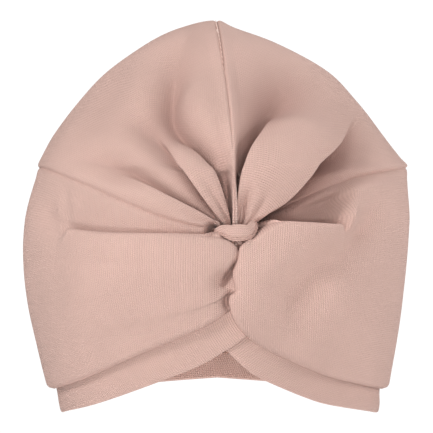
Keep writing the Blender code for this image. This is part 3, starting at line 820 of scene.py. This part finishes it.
def crown(side):
    """One half of the crown, from the knot over the top to the back seam."""
    points = crown_points(side)
    _, way, _ = around_knot(points)
    run = run_along(points)
    width = run[-1]
    ease = np.minimum(SEAM_EASE, width * SEAM_EASE_SHARE)
    along = run_along(points.swapaxes(0, 1)).T
    to_back = along[:, -1:] - along
    edge = np.minimum(np.minimum(run, width - run) / ease, to_back / SEAM_EASE)
    inside = smooth_step(edge)
    puff = CROWN_PUFF * np.exp(-(((way / CROWN_PUFF_AZIMUTH) - 1) ** 2))
    folds = [gather_fold(points, gather) for gather in GATHERS + FINE_GATHERS]
    depth = sum(fold[0] for index, fold in enumerate(folds) if index != TROUGH_GATHER)
    depth = depth + furrow_depth(points, CROWN_FURROWS)
    slide = sum(fold[1] for fold in folds) * inside
    soft = RUMPLE * rumple(points, RUMPLE_SEEDS["crown"] + side)
    relief = knot_sink(points) + (puff - depth + soft) * inside
    for off, way_along in ((run, along), (width - run, along), (to_back, run)):
        relief = relief + seam_relief(off, way_along)
    normals = normals_at(points)
    outer = slid(points, normals, slide) + normals * relief[..., None] + hollowed(points)
    # How deep the cloth is drawn in here, which sets the painted shade of the folds
    sunk = depth * inside + trough_depth(points) + pit_depth(points)
    behind = tail(outer)
    outer = np.concatenate([behind, outer], axis=1)
    before = -np.arange(TAIL_COLUMNS, 0, -1) * (KNOT[2] - TAIL_UP * CAP_HEIGHT) / TAIL_COLUMNS
    along = np.concatenate([np.broadcast_to(before, behind.shape[:2]), along], axis=1)
    run = np.concatenate([np.repeat(run[:, :1], TAIL_COLUMNS, axis=1), run], axis=1)
    sunk = np.concatenate([np.repeat(sunk[:, :1], TAIL_COLUMNS, axis=1), sunk], axis=1)
    shell("crown_" + WORDS[side], outer, along, run, CLOTH, sunk)


def lip_line(side):
    """The edge of a wrap's upper fold, as azimuths and heights."""
    return through(front_line(LEFT_LIP if side < 0 else RIGHT_LIP), DENSE)


def strip_grid(side, start, lines, laps, across, up):
    """A strip from its front end round to the back, between the lines of its foot and top."""
    back_azimuth = side * (180.0 + degrees_along(SEAM_LAP))
    sides = []
    for corner, line, lap in zip((start[0], start[-1]), lines, laps):
        azimuth = corner[0] + (back_azimuth - corner[0]) * across
        row = np.column_stack([azimuth, at_azimuth(line, azimuth) + lap])
        row[0] = corner
        sides.append(row)
    foot, top = sides
    end = foot[-1] + (top[-1] - foot[-1]) * up[:, None]
    return coons(start, end, foot, top, across, up)


def wrap_strip(side):
    """One wrap as azimuths and heights, from crease to back seam and from hem to crown."""
    seam, hem_line = seam_line(side), hem_top_line(side)
    if side < 0:
        rows = [[crease_foot()], front_line(CREASE + LEFT_LOBE + LEFT_SEAM[:1])]
    else:
        rows = [wrap_edge(), front_line(CREASE + RIGHT_LOBE + RIGHT_SEAM[:1])]
    across = np.linspace(0.0, 1.0, WRAP_ALONG + 1) ** WRAP_CROWDING
    up = np.linspace(0.0, 1.0, DENSE + 1)
    start = resampled_round(through(np.vstack(rows), DENSE), up)
    return strip_grid(side, start, (hem_line, seam), (-SEAM_LAP, SEAM_LAP), across, up)


def wrap_grid(side):
    """The grid of one wrap, up to its lip's fold, over it and on to the crown's seam: azimuths
    and heights, how far the fold lies out from the form, and how much of a fold there is."""
    dense = wrap_strip(side).swapaxes(0, 1)
    lip = lip_line(side)
    above = dense[..., 1] - at_azimuth(lip, dense[..., 0])
    last = len(dense) - 1
    height = dense[-1, :, 1] - dense[0, :, 1]
    met = np.clip(first_crossing(above), LIP_LEAST * last, LIP_MOST * last)
    below = met * height / last
    over = (last - met) * height / last
    fold = through(LIP_FOLD, WRAP_LIP + 1)
    flat_up = np.linspace(LIP_FOLD[0][0], LIP_FOLD[-1][0], WRAP_LIP + 1)
    fade = smooth_step((abs(lip[-1, 0]) - np.abs(dense[0, :, 0])) / LIP_FADE_AZIMUTH[side])
    room = np.minimum(1.0, STRIP_SHARE * over / LIP_FOLD[-1][0])
    rows_up, rows_out = [], []
    for step in np.arange(WRAP_BELOW) / WRAP_BELOW:
        rows_up.append(-below + (below + LIP_FOLD[0][0]) * step)
        rows_out.append(fade * LIP_FOLD[0][1] * smooth_step(step))
    for up, out, level in zip(fold[:, 0], fold[:, 1], flat_up):
        out = out if out > 0 else out * LIP_INWARD[side]
        stretched = np.where(up > 0, up * room, up)
        rows_up.append(stretched * fade + level * (1 - fade) * np.where(level > 0, room, 1.0))
        rows_out.append(out * fade)
    strip_up, strip_out = rows_up[-1], rows_out[-1]
    for step in np.arange(1, WRAP_ABOVE + 1) / WRAP_ABOVE:
        rows_up.append(strip_up + (over - strip_up) * step)
        rows_out.append(strip_out * (1 - smooth_step(step)))
    places = np.clip(met + np.array(rows_up) * last / height, 0, last)
    return row_picked(dense, places).swapaxes(0, 1), np.array(rows_out).T, fade


def curled(outer, points, normals, level, under):
    """The wrap with its crease edge rolled in, or passed in under the other wrap."""
    inward = unit(points[2] - points[0])
    lobe = smooth_step((level[0] / CAP_HEIGHT - LOBE_UP) / CREASE_TUCK_BLEND)[:, None]
    radius = CREASE_CURL + (LOBE_CURL - CREASE_CURL) * lobe
    weight = under[0][:, None]
    curl = []
    for step in np.arange(CURL_COLUMNS, 0, -1) / CURL_COLUMNS:
        turn = math.radians(CURL_TURN) * step
        rolled = radius * (inward * (1 - math.cos(turn)) - normals[0] * math.sin(turn))
        passed = -CREASE_TUCK * step * (inward + CREASE_TUCK_BEHIND * normals[0])
        curl.append(outer[0] + rolled * (1 - weight) + passed * weight)
    return np.concatenate([np.array(curl), outer])


def wrap(side):
    """One wrap of the band: a soft puff that rolls in at the hem and at the crease, with its
    upper edge folded over as a lip and a sunk strip from there to the crown's seam."""
    grid, out, fade = wrap_grid(side)
    azimuth, level = grid[..., 0], grid[..., 1]
    points = placed(azimuth, level)
    from_crease = run_along(points)
    lobe = smooth_step(from_crease / LIP_LOBE_REACH)
    out = np.where(out > 0, out * (LIP_LOBE_SHARE + (1 - LIP_LOBE_SHARE) * lobe), out)
    below_seam = at_azimuth(seam_line(side), azimuth) - level
    above_hem = np.maximum(level - at_azimuth(hem_top_line(side), azimuth), 0.0)
    inside = smooth_step(below_seam / SEAM_EASE)
    row = np.arange(out.shape[1])
    sunk = smooth_step((row - WRAP_BELOW - STRIP_FROM * WRAP_LIP) / (STRIP_OVER * WRAP_LIP))
    sunk = sunk[None, :] * fade[:, None]
    drawn = knot_sink(points) * (1 - WRAP_SINK_SHARE * inside * (1 - sunk))
    hollow = sunk + (1 - sunk) * (1 - inside) * (row > WRAP_BELOW)[None, :]
    # How deep the cloth is drawn in here, which sets the painted shade of the folds
    deep = hollow * (trough_depth(points) + pit_depth(points))
    hem_curl = np.sqrt(1 - (1 - np.clip(above_hem / WRAP_PUFF_EASE, 0, 1)) ** 2)
    puff = WRAP_PUFF * hem_curl * smooth_step(below_seam / WRAP_PUFF_FALL)
    roll = np.clip(1 - from_crease / CREASE_ROLL_WIDTH, 0, 1)
    roll = CREASE_DROP * (1 - np.sqrt(1 - roll**2))
    tuck = CREASE_TUCK * np.exp(-((from_crease / CREASE_TUCK_REACH) ** 2))
    under = (CREASE_TUCK_UP - level / CAP_HEIGHT) / CREASE_TUCK_BLEND
    under = smooth_step(under) if side < 0 else np.zeros(level.shape)
    soft = puff - furrow_depth(points, WRAP_FURROWS[side])
    soft = soft + RUMPLE * rumple(points, RUMPLE_SEEDS["wrap"] + side)
    relief = drawn + soft * inside + out * (SEAM_OUT_SHARE + (1 - SEAM_OUT_SHARE) * inside)
    relief = relief - roll * (1 - under) - tuck * under
    relief = relief + seam_relief(below_seam, from_crease)
    normals = normals_at(points)
    outer = points + normals * relief[..., None] + hollowed(points) * hollow[..., None]
    outer = curled(outer, points, normals, level, under)
    before = -CREASE_CURL * np.arange(CURL_COLUMNS, 0, -1)[:, None] * CURL_RUN / CURL_COLUMNS
    round_form = side * np.radians(azimuth) * HALF_WIDTH
    round_form = np.concatenate([before + round_form[:1], round_form])
    rise = run_along(points.swapaxes(0, 1)).T
    rise, deep = (np.concatenate([np.repeat(g[:1], CURL_COLUMNS, axis=0), g]) for g in (rise, deep))
    folded = np.zeros(outer.shape[:2], dtype=bool)
    folded[:, WRAP_BELOW - FOLDED_ROWS : WRAP_BELOW + WRAP_LIP + FOLDED_ROWS] = True
    folded[:FOLDED_COLUMNS] = True
    shell("wrap_" + WORDS[side], outer, round_form, rise, CLOTH, deep, folded)


def hem_start(side, up):
    """The front end of a hem: under the right wrap, or under the left hem, from foot to top."""
    if side < 0:
        rows = wrap_edge()
    else:
        over = hem_foot_line(-1)
        tip, top = meeting(over, hem_foot_line(1)), meeting(over, hem_top_line(1))
        azimuth = np.linspace(tip[0], top[0], DENSE)
        rows = np.column_stack([azimuth, at_azimuth(over, azimuth)])
    return resampled_round(rows, up)


def hem(side):
    """The folded hem of one wrap: cloth that runs down outside, round the foot and up inside."""
    across = np.linspace(0.0, 1.0, HEM_ALONG + 1) ** HEM_CROWDING
    up = np.linspace(0.0, 1.0, HEM_UP + 1)
    lines = hem_foot_line(side), hem_top_line(side)
    grid = strip_grid(side, hem_start(side, up), lines, (0.0, 0.0), across, up)
    points = placed(grid[..., 0], grid[..., 1])
    normals = normals_at(points)
    along = run_along(points)
    behind = HEM_STEP + HEM_BULGE * (1 - np.cos(math.pi * up))[None, :]
    end_tuck = HEM_END_TUCK[side] * np.exp(-along / HEM_END_REACH)
    relief = knot_sink(points) * WRAP_SINK_SHARE - behind - end_tuck
    relief = relief + HEM_RUMPLE_SHARE * RUMPLE * rumple(points, RUMPLE_SEEDS["hem"] + side)
    outside = points + normals * relief[..., None]
    inside = outside - normals * (HEM_FOLD - HEM_CLOTH)
    radius = (HEM_FOLD - HEM_CLOTH) / 2
    turns = np.linspace(0.0, math.pi, HEM_BEND_STEPS)[1:-1]
    down = unit(points[:, :1] - points[:, 1:2])
    middle = (outside[:, :1] + inside[:, :1]) / 2
    out = unit(outside[:, :1] - inside[:, :1])
    bend = [middle + radius * (out * math.cos(t) + down * math.sin(t)) for t in turns]
    section = np.concatenate([outside[:, ::-1], *bend, inside], axis=1)
    rise = run_along(section.swapaxes(0, 1)).T
    run = np.concatenate([along[:, ::-1], *[along[:, :1]] * len(turns), along], axis=1)
    shell("hem_" + WORDS[side], section, run, rise, HEM_CLOTH)


def write_uv(mesh, places):
    """Give a mesh its UV map, from one place for each vertex."""
    layer = mesh.uv_layers.new(name="UVMap")
    corners = np.empty(len(mesh.loops), dtype=np.int32)
    mesh.loops.foreach_get("vertex_index", corners)
    layer.data.foreach_set("uv", places[corners].ravel())


def add_piece(name, mesh):
    """Put a finished mesh in the scene, as what is seen of one node."""
    mesh.shade_smooth()
    mesh.set_sharp_from_angle(angle=math.radians(SHARP_ANGLE))
    piece = bpy.data.objects.new(name + "_cloth", mesh)
    bpy.context.scene.collection.objects.link(piece)
    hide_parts(name)
    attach(piece, "root")


def shell(name, outer, run, rise, wall, deep=None, smooth_inside=None):
    """One cloth piece: its outer face, its inner face a wall behind it, and its cut edges. The
    inner face is ribbed but where the cloth is folded over, so that its face looks inward."""
    normals = grid_normals(outer)
    middle = KNOT * [0.0, 0.0, 1.0]
    centre = outer[outer.shape[0] // 2, outer.shape[1] // 3]
    facing = normals[outer.shape[0] // 2, outer.shape[1] // 3]
    flip = np.dot(facing, centre - middle) < 0
    inner = outer - (-normals if flip else normals) * wall
    rows, columns = outer.shape[:2]
    second = rows * columns
    corner = np.arange(second).reshape(rows, columns)
    a, b = corner[:-1, :-1].ravel(), corner[1:, :-1].ravel()
    c, d = corner[1:, 1:].ravel(), corner[:-1, 1:].ravel()
    front = np.column_stack([a, b, c, d])
    back = np.column_stack([d, c, b, a]) + second
    rim = np.concatenate([corner[:, 0], corner[-1, 1:], corner[-2::-1, -1], corner[0, -2:0:-1]])
    after = np.roll(rim, -1)
    edge = np.column_stack([after, rim, rim + second, after + second])
    faces = np.vstack([front, back, edge])
    if flip:
        faces = faces[:, ::-1]
    mesh = bpy.data.meshes.new(name)
    vertices = np.vstack([outer.reshape(-1, 3), inner.reshape(-1, 3)])
    mesh.from_pydata(vertices.tolist(), [], faces.tolist())
    write_uv(mesh, np.tile(np.stack([run, rise], axis=-1).reshape(-1, 2), (2, 1)))
    # Painted shade: the depth of the folds as a share that darkens and reddens the face's colour
    if deep is not None:
        folds = mesh.attributes.new("painted_fold_shade", "FLOAT", "POINT")
        depth = smooth_step(deep / FOLD_PAINTED_SHADE_DEPTH).ravel()
        folds.data.foreach_set("value", np.concatenate([depth, np.zeros(second)]))
    mesh.materials.append(MATERIALS["face"])
    mesh.materials.append(MATERIALS["ribbed"])
    ribbed = np.ones((rows - 1, columns - 1))
    if smooth_inside is not None:
        ribbed[smooth_inside[:-1, :-1]] = 0
    slots = np.concatenate([np.zeros(len(front)), ribbed.ravel(), np.zeros(len(edge))])
    mesh.polygons.foreach_set("material_index", slots.astype(np.int32))
    mesh.update()
    add_piece(name, mesh)


def node(tree, kind, inputs=(), **settings):
    """A shader node with its settings and inputs; an input is a value or another socket."""
    made = tree.nodes.new(kind)
    for key, value in settings.items():
        setattr(made, key, value)
    for key, value in dict(inputs).items():
        if isinstance(value, bpy.types.NodeSocket):
            tree.links.new(value, made.inputs[key])
        else:
            made.inputs[key].default_value = value
    return made


def math_node(tree, operation, first, second=0.0):
    return node(tree, "ShaderNodeMath", {0: first, 1: second}, operation=operation).outputs[0]


# Knit: colour, width of a column and height of a row of stitches in metres, whether it shows its
# ribbed side, and the height of its relief in metres
JERSEYS = {
    # colour, wale, course, ribbed, relief
    "face": ((0.64, 0.424, 0.366), 0.00125, 0.00100, False, 0.00030),
    # The ribbed side's colour is painted lighter than the face's: painted light on the inside of
    # the hollow
    "ribbed": ((0.86, 0.66, 0.59), 0.00145, 0.00100, True, 0.00045),
}
LOOP_SLANT = 0.55
LOOP_RELIEF = 0.35
COLUMN_POWER = 2.5
NOISE_DETAIL = 2.0
NAP_SCALE = 2600.0
NAP_SHARE = 0.2
MOTTLE_SCALE = 16.0
BUMP_STRENGTH = 0.95
# Painted light and shade of the stitches: how much their relief lightens or darkens the colour, and
# the ramp's ends, which also carry the random mottling of the cloth's own tone
STITCH_SHADE_SHARE = 0.55
STITCH_SHADE_AND_MOTTLE_ENDS = (
    # place on the ramp, brightness
    (0.2, 0.88),
    (0.8, 1.06),
)
SURFACE = {
    "Roughness": 0.92,
    "Specular IOR Level": 0.25,
    "Sheen Weight": 0.12,
    "Sheen Roughness": 0.5,
    "Sheen Tint": (1.0, 0.88, 0.84, 1.0),
}


def noise_texture(tree, place, scale):
    settings = {"Vector": place, "Scale": scale, "Detail": NOISE_DETAIL}
    return node(tree, "ShaderNodeTexNoise", settings).outputs["Fac"]


def jersey(name, color, wale, course, ribbed, relief):
    """Knitted cotton: columns of stitches, each a slanting pair of loops, or ribs, in relief, and
    in colour as painted light and shade, lighter where raised and darker where low; with slow
    mottling of the cloth's own tone, a soft nap, and painted shade that darkens and reddens the
    depth of folds."""
    material = bpy.data.materials.new(name)
    material.use_nodes = True
    tree = material.node_tree
    shader = tree.nodes["Principled BSDF"]
    place = node(tree, "ShaderNodeUVMap", uv_map="UVMap").outputs["UV"]
    split = node(tree, "ShaderNodeSeparateXYZ", {"Vector": place})
    u = math_node(tree, "DIVIDE", split.outputs["X"], wale)
    v = math_node(tree, "DIVIDE", split.outputs["Y"], course)
    if ribbed:
        wave = math_node(tree, "COSINE", math_node(tree, "MULTIPLY", u, 2 * math.pi))
        height = math_node(tree, "MULTIPLY_ADD", wave, 0.5)
        tree.nodes[-1].inputs[2].default_value = 0.5
    else:
        column = math_node(tree, "FRACT", u)
        centred = math_node(tree, "SUBTRACT", column, 0.5)
        side = math_node(tree, "MULTIPLY", math_node(tree, "ABSOLUTE", centred), 2.0)
        slanted = math_node(tree, "ADD", v, math_node(tree, "MULTIPLY", side, LOOP_SLANT))
        loops = math_node(tree, "COSINE", math_node(tree, "MULTIPLY", slanted, 2 * math.pi))
        loops = math_node(tree, "MULTIPLY", loops, LOOP_RELIEF)
        height = math_node(tree, "SUBTRACT", loops, math_node(tree, "POWER", side, COLUMN_POWER))
    nap = math_node(tree, "MULTIPLY", noise_texture(tree, place, NAP_SCALE), NAP_SHARE)
    fuzz = math_node(tree, "ADD", height, nap)
    surface = {"Height": fuzz, "Strength": BUMP_STRENGTH, "Distance": relief}
    bump = node(tree, "ShaderNodeBump", surface).outputs["Normal"]
    mottle = noise_texture(tree, place, MOTTLE_SCALE)
    # Painted light and shade: the stitches lighter where raised and darker where low, plus random
    # mottling
    stitch_shade_and_mottle = math_node(tree, "ADD", math_node(tree, "MULTIPLY", height, STITCH_SHADE_SHARE), mottle)
    ramp = node(tree, "ShaderNodeValToRGB", {"Fac": stitch_shade_and_mottle})
    for end, (position, brightness) in zip(ramp.color_ramp.elements, STITCH_SHADE_AND_MOTTLE_ENDS):
        end.position = position
        end.color = (*[brightness * part for part in color], 1.0)
    # Painted shade: the colour darkened and reddened by the share of fold depth
    folds = node(tree, "ShaderNodeAttribute", attribute_name="painted_fold_shade").outputs["Fac"]
    fold_shade_mix = node(
        tree,
        "ShaderNodeMix",
        {"Factor": folds, 6: ramp.outputs["Color"]},
        data_type="RGBA",
        blend_type="MULTIPLY",
    )
    fold_shade_mix.inputs[7].default_value = (*[1.0 - lost for lost in FOLD_PAINTED_SHADE], 1.0)
    tree.links.new(fold_shade_mix.outputs[2], shader.inputs["Base Color"])
    tree.links.new(bump, shader.inputs["Normal"])
    for key, value in SURFACE.items():
        shader.inputs[key].default_value = value
    return material


# Knot loop: a stitched band round the gathers, its part in front, its part behind them and a
# strand of cloth under it, as places along the middle: shares of HALF_WIDTH and CAP_HEIGHT,
# depth out from the form, half-height and half-thickness in metres
LOOP_PATH = (
    # across, up, out, half_height, half_thick
    (-0.0206, 0.4675, -0.0190, 0.0010, 0.0010),
    (0.0000, 0.4648, -0.0095, 0.0020, 0.0014),
    (0.0360, 0.4651, -0.0058, 0.0031, 0.0018),
    (0.0756, 0.4587, -0.0040, 0.0043, 0.0021),
    (0.1080, 0.4582, -0.0034, 0.0046, 0.0022),
    (0.1543, 0.4597, -0.0040, 0.0042, 0.0021),
    (0.1800, 0.4671, -0.0058, 0.0034, 0.0019),
    (0.1980, 0.4799, -0.0085, 0.0026, 0.0016),
    (0.2058, 0.4910, -0.0125, 0.0018, 0.0013),
    (0.2083, 0.5000, -0.0190, 0.0010, 0.0010),
)
LOOP_BACK_PATH = (
    # across, up, out, half_height, half_thick
    (-0.0300, 0.4630, -0.0230, 0.0060, 0.0011),
    (0.0300, 0.4450, -0.0235, 0.0075, 0.0012),
    (0.1000, 0.4400, -0.0240, 0.0080, 0.0012),
    (0.1700, 0.4500, -0.0235, 0.0075, 0.0012),
    (0.2200, 0.4750, -0.0230, 0.0060, 0.0011),
)
STRAND_PATH = (
    # across, up, out, half_height, half_thick
    (0.1060, 0.4420, -0.0150, 0.0006, 0.0006),
    (0.1200, 0.4360, -0.0105, 0.0009, 0.0008),
    (0.1330, 0.4320, -0.0100, 0.0010, 0.0009),
    (0.1480, 0.4340, -0.0130, 0.0008, 0.0008),
)
LOOP_ALONG = 110
LOOP_ROUND = 48
LOOP_SQUARE = 0.55
LOOP_FLATTENING = 0.18
LOOP_CHANNELS = (
    # place across the band from -1 at its foot to 1, half_width, depth in metres
    (-0.58, 0.09, 0.00060),
    (-0.88, 0.06, 0.00030),
    (0.62, 0.05, 0.00016),
    (0.30, 0.05, 0.00010),
    (0.00, 0.05, 0.00010),
)
STITCH_ROWS = (-0.58, -0.88)
STITCH_PITCH = 0.0017
STITCH_LENGTH = 0.0012
STITCH_WIDTH = 0.00042
STITCH_ENDS = (0.24, 0.84)
STITCH_RINGS = 5
STITCH_SIDES = 8


def band_frame(path, along):
    """The middle line of a band with its directions along, across and out, and its rows."""
    rows = through(path, along + 1)
    azimuth = azimuth_of(rows[:, 0], rows[:, 1])
    base = placed(azimuth, rows[:, 1] * CAP_HEIGHT)
    out = normals_at(base)
    centre = base + out * rows[:, 2:3]
    ahead = unit(np.gradient(centre, axis=0))
    side = unit(np.cross(out, ahead))
    return rows, centre, ahead, side, unit(np.cross(ahead, side))


def band(path, along, channels):
    """Points and faces of a closed flattened band, with sewn channels along its front."""
    rows, centre, _, side, face = band_frame(path, along)
    turn = np.linspace(0.0, 2 * math.pi, LOOP_ROUND, endpoint=False)[None, :, None]
    wide = np.sign(np.cos(turn)) * np.abs(np.cos(turn)) ** LOOP_SQUARE
    thick = np.sign(np.sin(turn)) * np.abs(np.sin(turn)) ** LOOP_SQUARE
    dip = sum(deep * np.exp(-(((wide - at) / half) ** 2)) for at, half, deep in channels)
    dip = dip * (thick > 0) if channels else 0.0
    bulge = 1 - LOOP_FLATTENING * wide**2
    tube = (
        centre[:, None, :]
        + side[:, None, :] * wide * rows[:, 3, None, None]
        + face[:, None, :] * (thick * bulge * rows[:, 4, None, None] - dip)
    )
    index = np.arange(len(centre) * LOOP_ROUND).reshape(len(centre), LOOP_ROUND)
    a, b = index[:-1], index[1:]
    faces = np.stack([a, b, np.roll(b, -1, axis=1), np.roll(a, -1, axis=1)], axis=-1)
    faces = faces.reshape(-1, 4).tolist()
    faces.append(index[0].tolist())
    faces.append(index[-1, ::-1].tolist())
    run = np.broadcast_to(run_along(centre[:, None, :]), tube.shape[:2])
    rise = run_along(tube.swapaxes(0, 1)).T
    return tube.reshape(-1, 3), faces, np.stack([rise, run], axis=-1).reshape(-1, 2)


def stitches(path, along):
    """Points and faces of the two rows of stitches in the channels of a band."""
    rows, centre, ahead, side, face = band_frame(path, along)
    run = run_along(centre[:, None, :])[:, 0]
    first, last = (run[-1] * share for share in STITCH_ENDS)
    points, faces, places = [], [], []
    for row in STITCH_ROWS:
        for place in np.arange(first, last, STITCH_PITCH):
            at = int(np.argmin(np.abs(run - place)))
            middle = centre[at] + side[at] * row * rows[at, 3]
            middle = middle + face[at] * rows[at, 4] * (1 - LOOP_FLATTENING * row**2)
            start = len(points)
            for ring in np.linspace(0.0, math.pi, STITCH_RINGS + 2)[1:-1]:
                for turn in np.linspace(0.0, 2 * math.pi, STITCH_SIDES, endpoint=False):
                    radius = STITCH_WIDTH * math.sin(ring) ** 0.5 / 2
                    offset = ahead[at] * math.cos(ring) * STITCH_LENGTH / 2
                    offset = offset + side[at] * radius * math.cos(turn)
                    points.append(middle + offset + face[at] * radius * math.sin(turn))
                    places.append((place, row * STITCH_WIDTH))
            corner = start + np.arange(STITCH_RINGS * STITCH_SIDES).reshape(STITCH_RINGS, -1)
            a, b = corner[:-1], corner[1:]
            round_it = [a, np.roll(a, -1, axis=1), np.roll(b, -1, axis=1), b]
            faces += np.stack(round_it, axis=-1).reshape(-1, 4).tolist()
            faces += [corner[0, ::-1].tolist(), corner[-1].tolist()]
    return np.array(points), faces, np.array(places)


def knot_loop():
    """The band in front and behind, its stitches and the strand under it, as one piece."""
    points, faces, places = [], [], []
    for part in (
        band(LOOP_PATH, LOOP_ALONG, LOOP_CHANNELS),
        band(LOOP_BACK_PATH, LOOP_ALONG // 2, ()),
        band(STRAND_PATH, LOOP_ALONG // 2, ()),
        stitches(LOOP_PATH, LOOP_ALONG),
    ):
        start = sum(len(group) for group in points)
        points.append(part[0])
        faces += [[corner + start for corner in face] for face in part[1]]
        places.append(part[2])
    mesh = bpy.data.meshes.new("knot_loop_band")
    mesh.from_pydata(np.vstack(points).tolist(), [], faces)
    mesh.validate()
    write_uv(mesh, np.vstack(places))
    mesh.materials.append(MATERIALS["face"])
    built = bmesh.new()
    built.from_mesh(mesh)
    bmesh.ops.recalc_face_normals(built, faces=built.faces)
    built.to_mesh(mesh)
    built.free()
    add_piece("knot_loop", mesh)


# Stage: camera and lights as the photograph has them
CAMERA_AWAY = 5.0
CAMERA_HEIGHT = 0.105
FRAME_WIDE = 0.234
FRAME_MIDDLE = -0.0003
SENSOR_WIDE = 36.0
FLOOR_LEVEL = -0.120
FLOOR_BACK = 3.0
FLOOR_REACH = 4.0
FLOOR_GREY = 0.86
FLOOR_ROUGHNESS = 0.9
WHITE = (1.0, 1.0, 1.0, 1.0)
WORLD_LIGHT = 0.34
WORLD_SEEN = 1.05
BELOW_AIM = (0.0, BACK_REACH, 0.03)
LIGHTS = (
    # name, place, size and power in watts
    ("key", (-1.7, -1.4, 1.5), 0.6, 32.0),
    ("top", (-0.2, -0.6, 2.2), 0.9, 11.0),
    ("side", (2.05, 0.25, 0.6), 0.9, 20.0),
    ("foot", (0.0, -1.5, -0.08), 0.6, 18.0),
    ("back", (0.6, 2.0, 1.6), 1.4, 16.0),
    ("below", (0.0, -0.03, -0.11), 0.08, 0.20),
)


def stage():
    """A pale floor below, white surroundings, soft lights, one of them small and under the head
    opening, and the camera."""
    scene = bpy.context.scene
    scene.view_settings.view_transform = "Standard"
    mesh = bpy.data.meshes.new("floor")
    corners = [(-FLOOR_REACH, -FLOOR_REACH), (FLOOR_REACH, -FLOOR_REACH)]
    corners += [(FLOOR_REACH, FLOOR_BACK), (-FLOOR_REACH, FLOOR_BACK)]
    mesh.from_pydata([(x, y, FLOOR_LEVEL) for x, y in corners], [], [(0, 1, 2, 3)])
    floor = bpy.data.objects.new("floor", mesh)
    material = bpy.data.materials.new("floor_paint")
    material.use_nodes = True
    shader = material.node_tree.nodes["Principled BSDF"]
    shader.inputs["Base Color"].default_value = (FLOOR_GREY, FLOOR_GREY, FLOOR_GREY, 1.0)
    shader.inputs["Roughness"].default_value = FLOOR_ROUGHNESS
    mesh.materials.append(material)
    scene.collection.objects.link(floor)

    world = bpy.data.worlds.new("studio")
    scene.world = world
    world.use_nodes = True
    tree = world.node_tree
    background = tree.nodes["Background"]
    background.inputs["Color"].default_value = WHITE
    background.inputs["Strength"].default_value = WORLD_LIGHT
    seen = node(tree, "ShaderNodeBackground", {"Color": WHITE, "Strength": WORLD_SEEN})
    path = node(tree, "ShaderNodeLightPath")
    mixed = node(
        tree,
        "ShaderNodeMixShader",
        {0: path.outputs["Is Camera Ray"], 1: background.outputs[0], 2: seen.outputs[0]},
    )
    tree.links.new(mixed.outputs[0], tree.nodes["World Output"].inputs["Surface"])

    middle = Vector((0.0, 0.0, CAMERA_HEIGHT))
    for name, place, size, power in LIGHTS:
        lamp = bpy.data.lights.new(name, "AREA")
        lamp.size = size
        lamp.energy = power
        light = bpy.data.objects.new(name, lamp)
        light.location = place
        aim = middle if name != "below" else Vector(BELOW_AIM)
        light.rotation_euler = (aim - Vector(place)).to_track_quat("-Z", "Y").to_euler()
        light.visible_camera = False
        scene.collection.objects.link(light)

    lens = bpy.data.cameras.new("camera")
    lens.sensor_width = SENSOR_WIDE
    lens.lens = lens.sensor_width * CAMERA_AWAY / FRAME_WIDE
    camera = bpy.data.objects.new("camera", lens)
    camera.location = (FRAME_MIDDLE, -CAMERA_AWAY, CAMERA_HEIGHT)
    camera.rotation_euler = (math.pi / 2, 0.0, 0.0)
    scene.collection.objects.link(camera)
    scene.camera = camera


MATERIALS = {key: jersey("jersey_" + key, *values) for key, values in JERSEYS.items()}
for side in (-1, 1):
    crown(side)
    wrap(side)
    hem(side)
knot_loop()
stage()
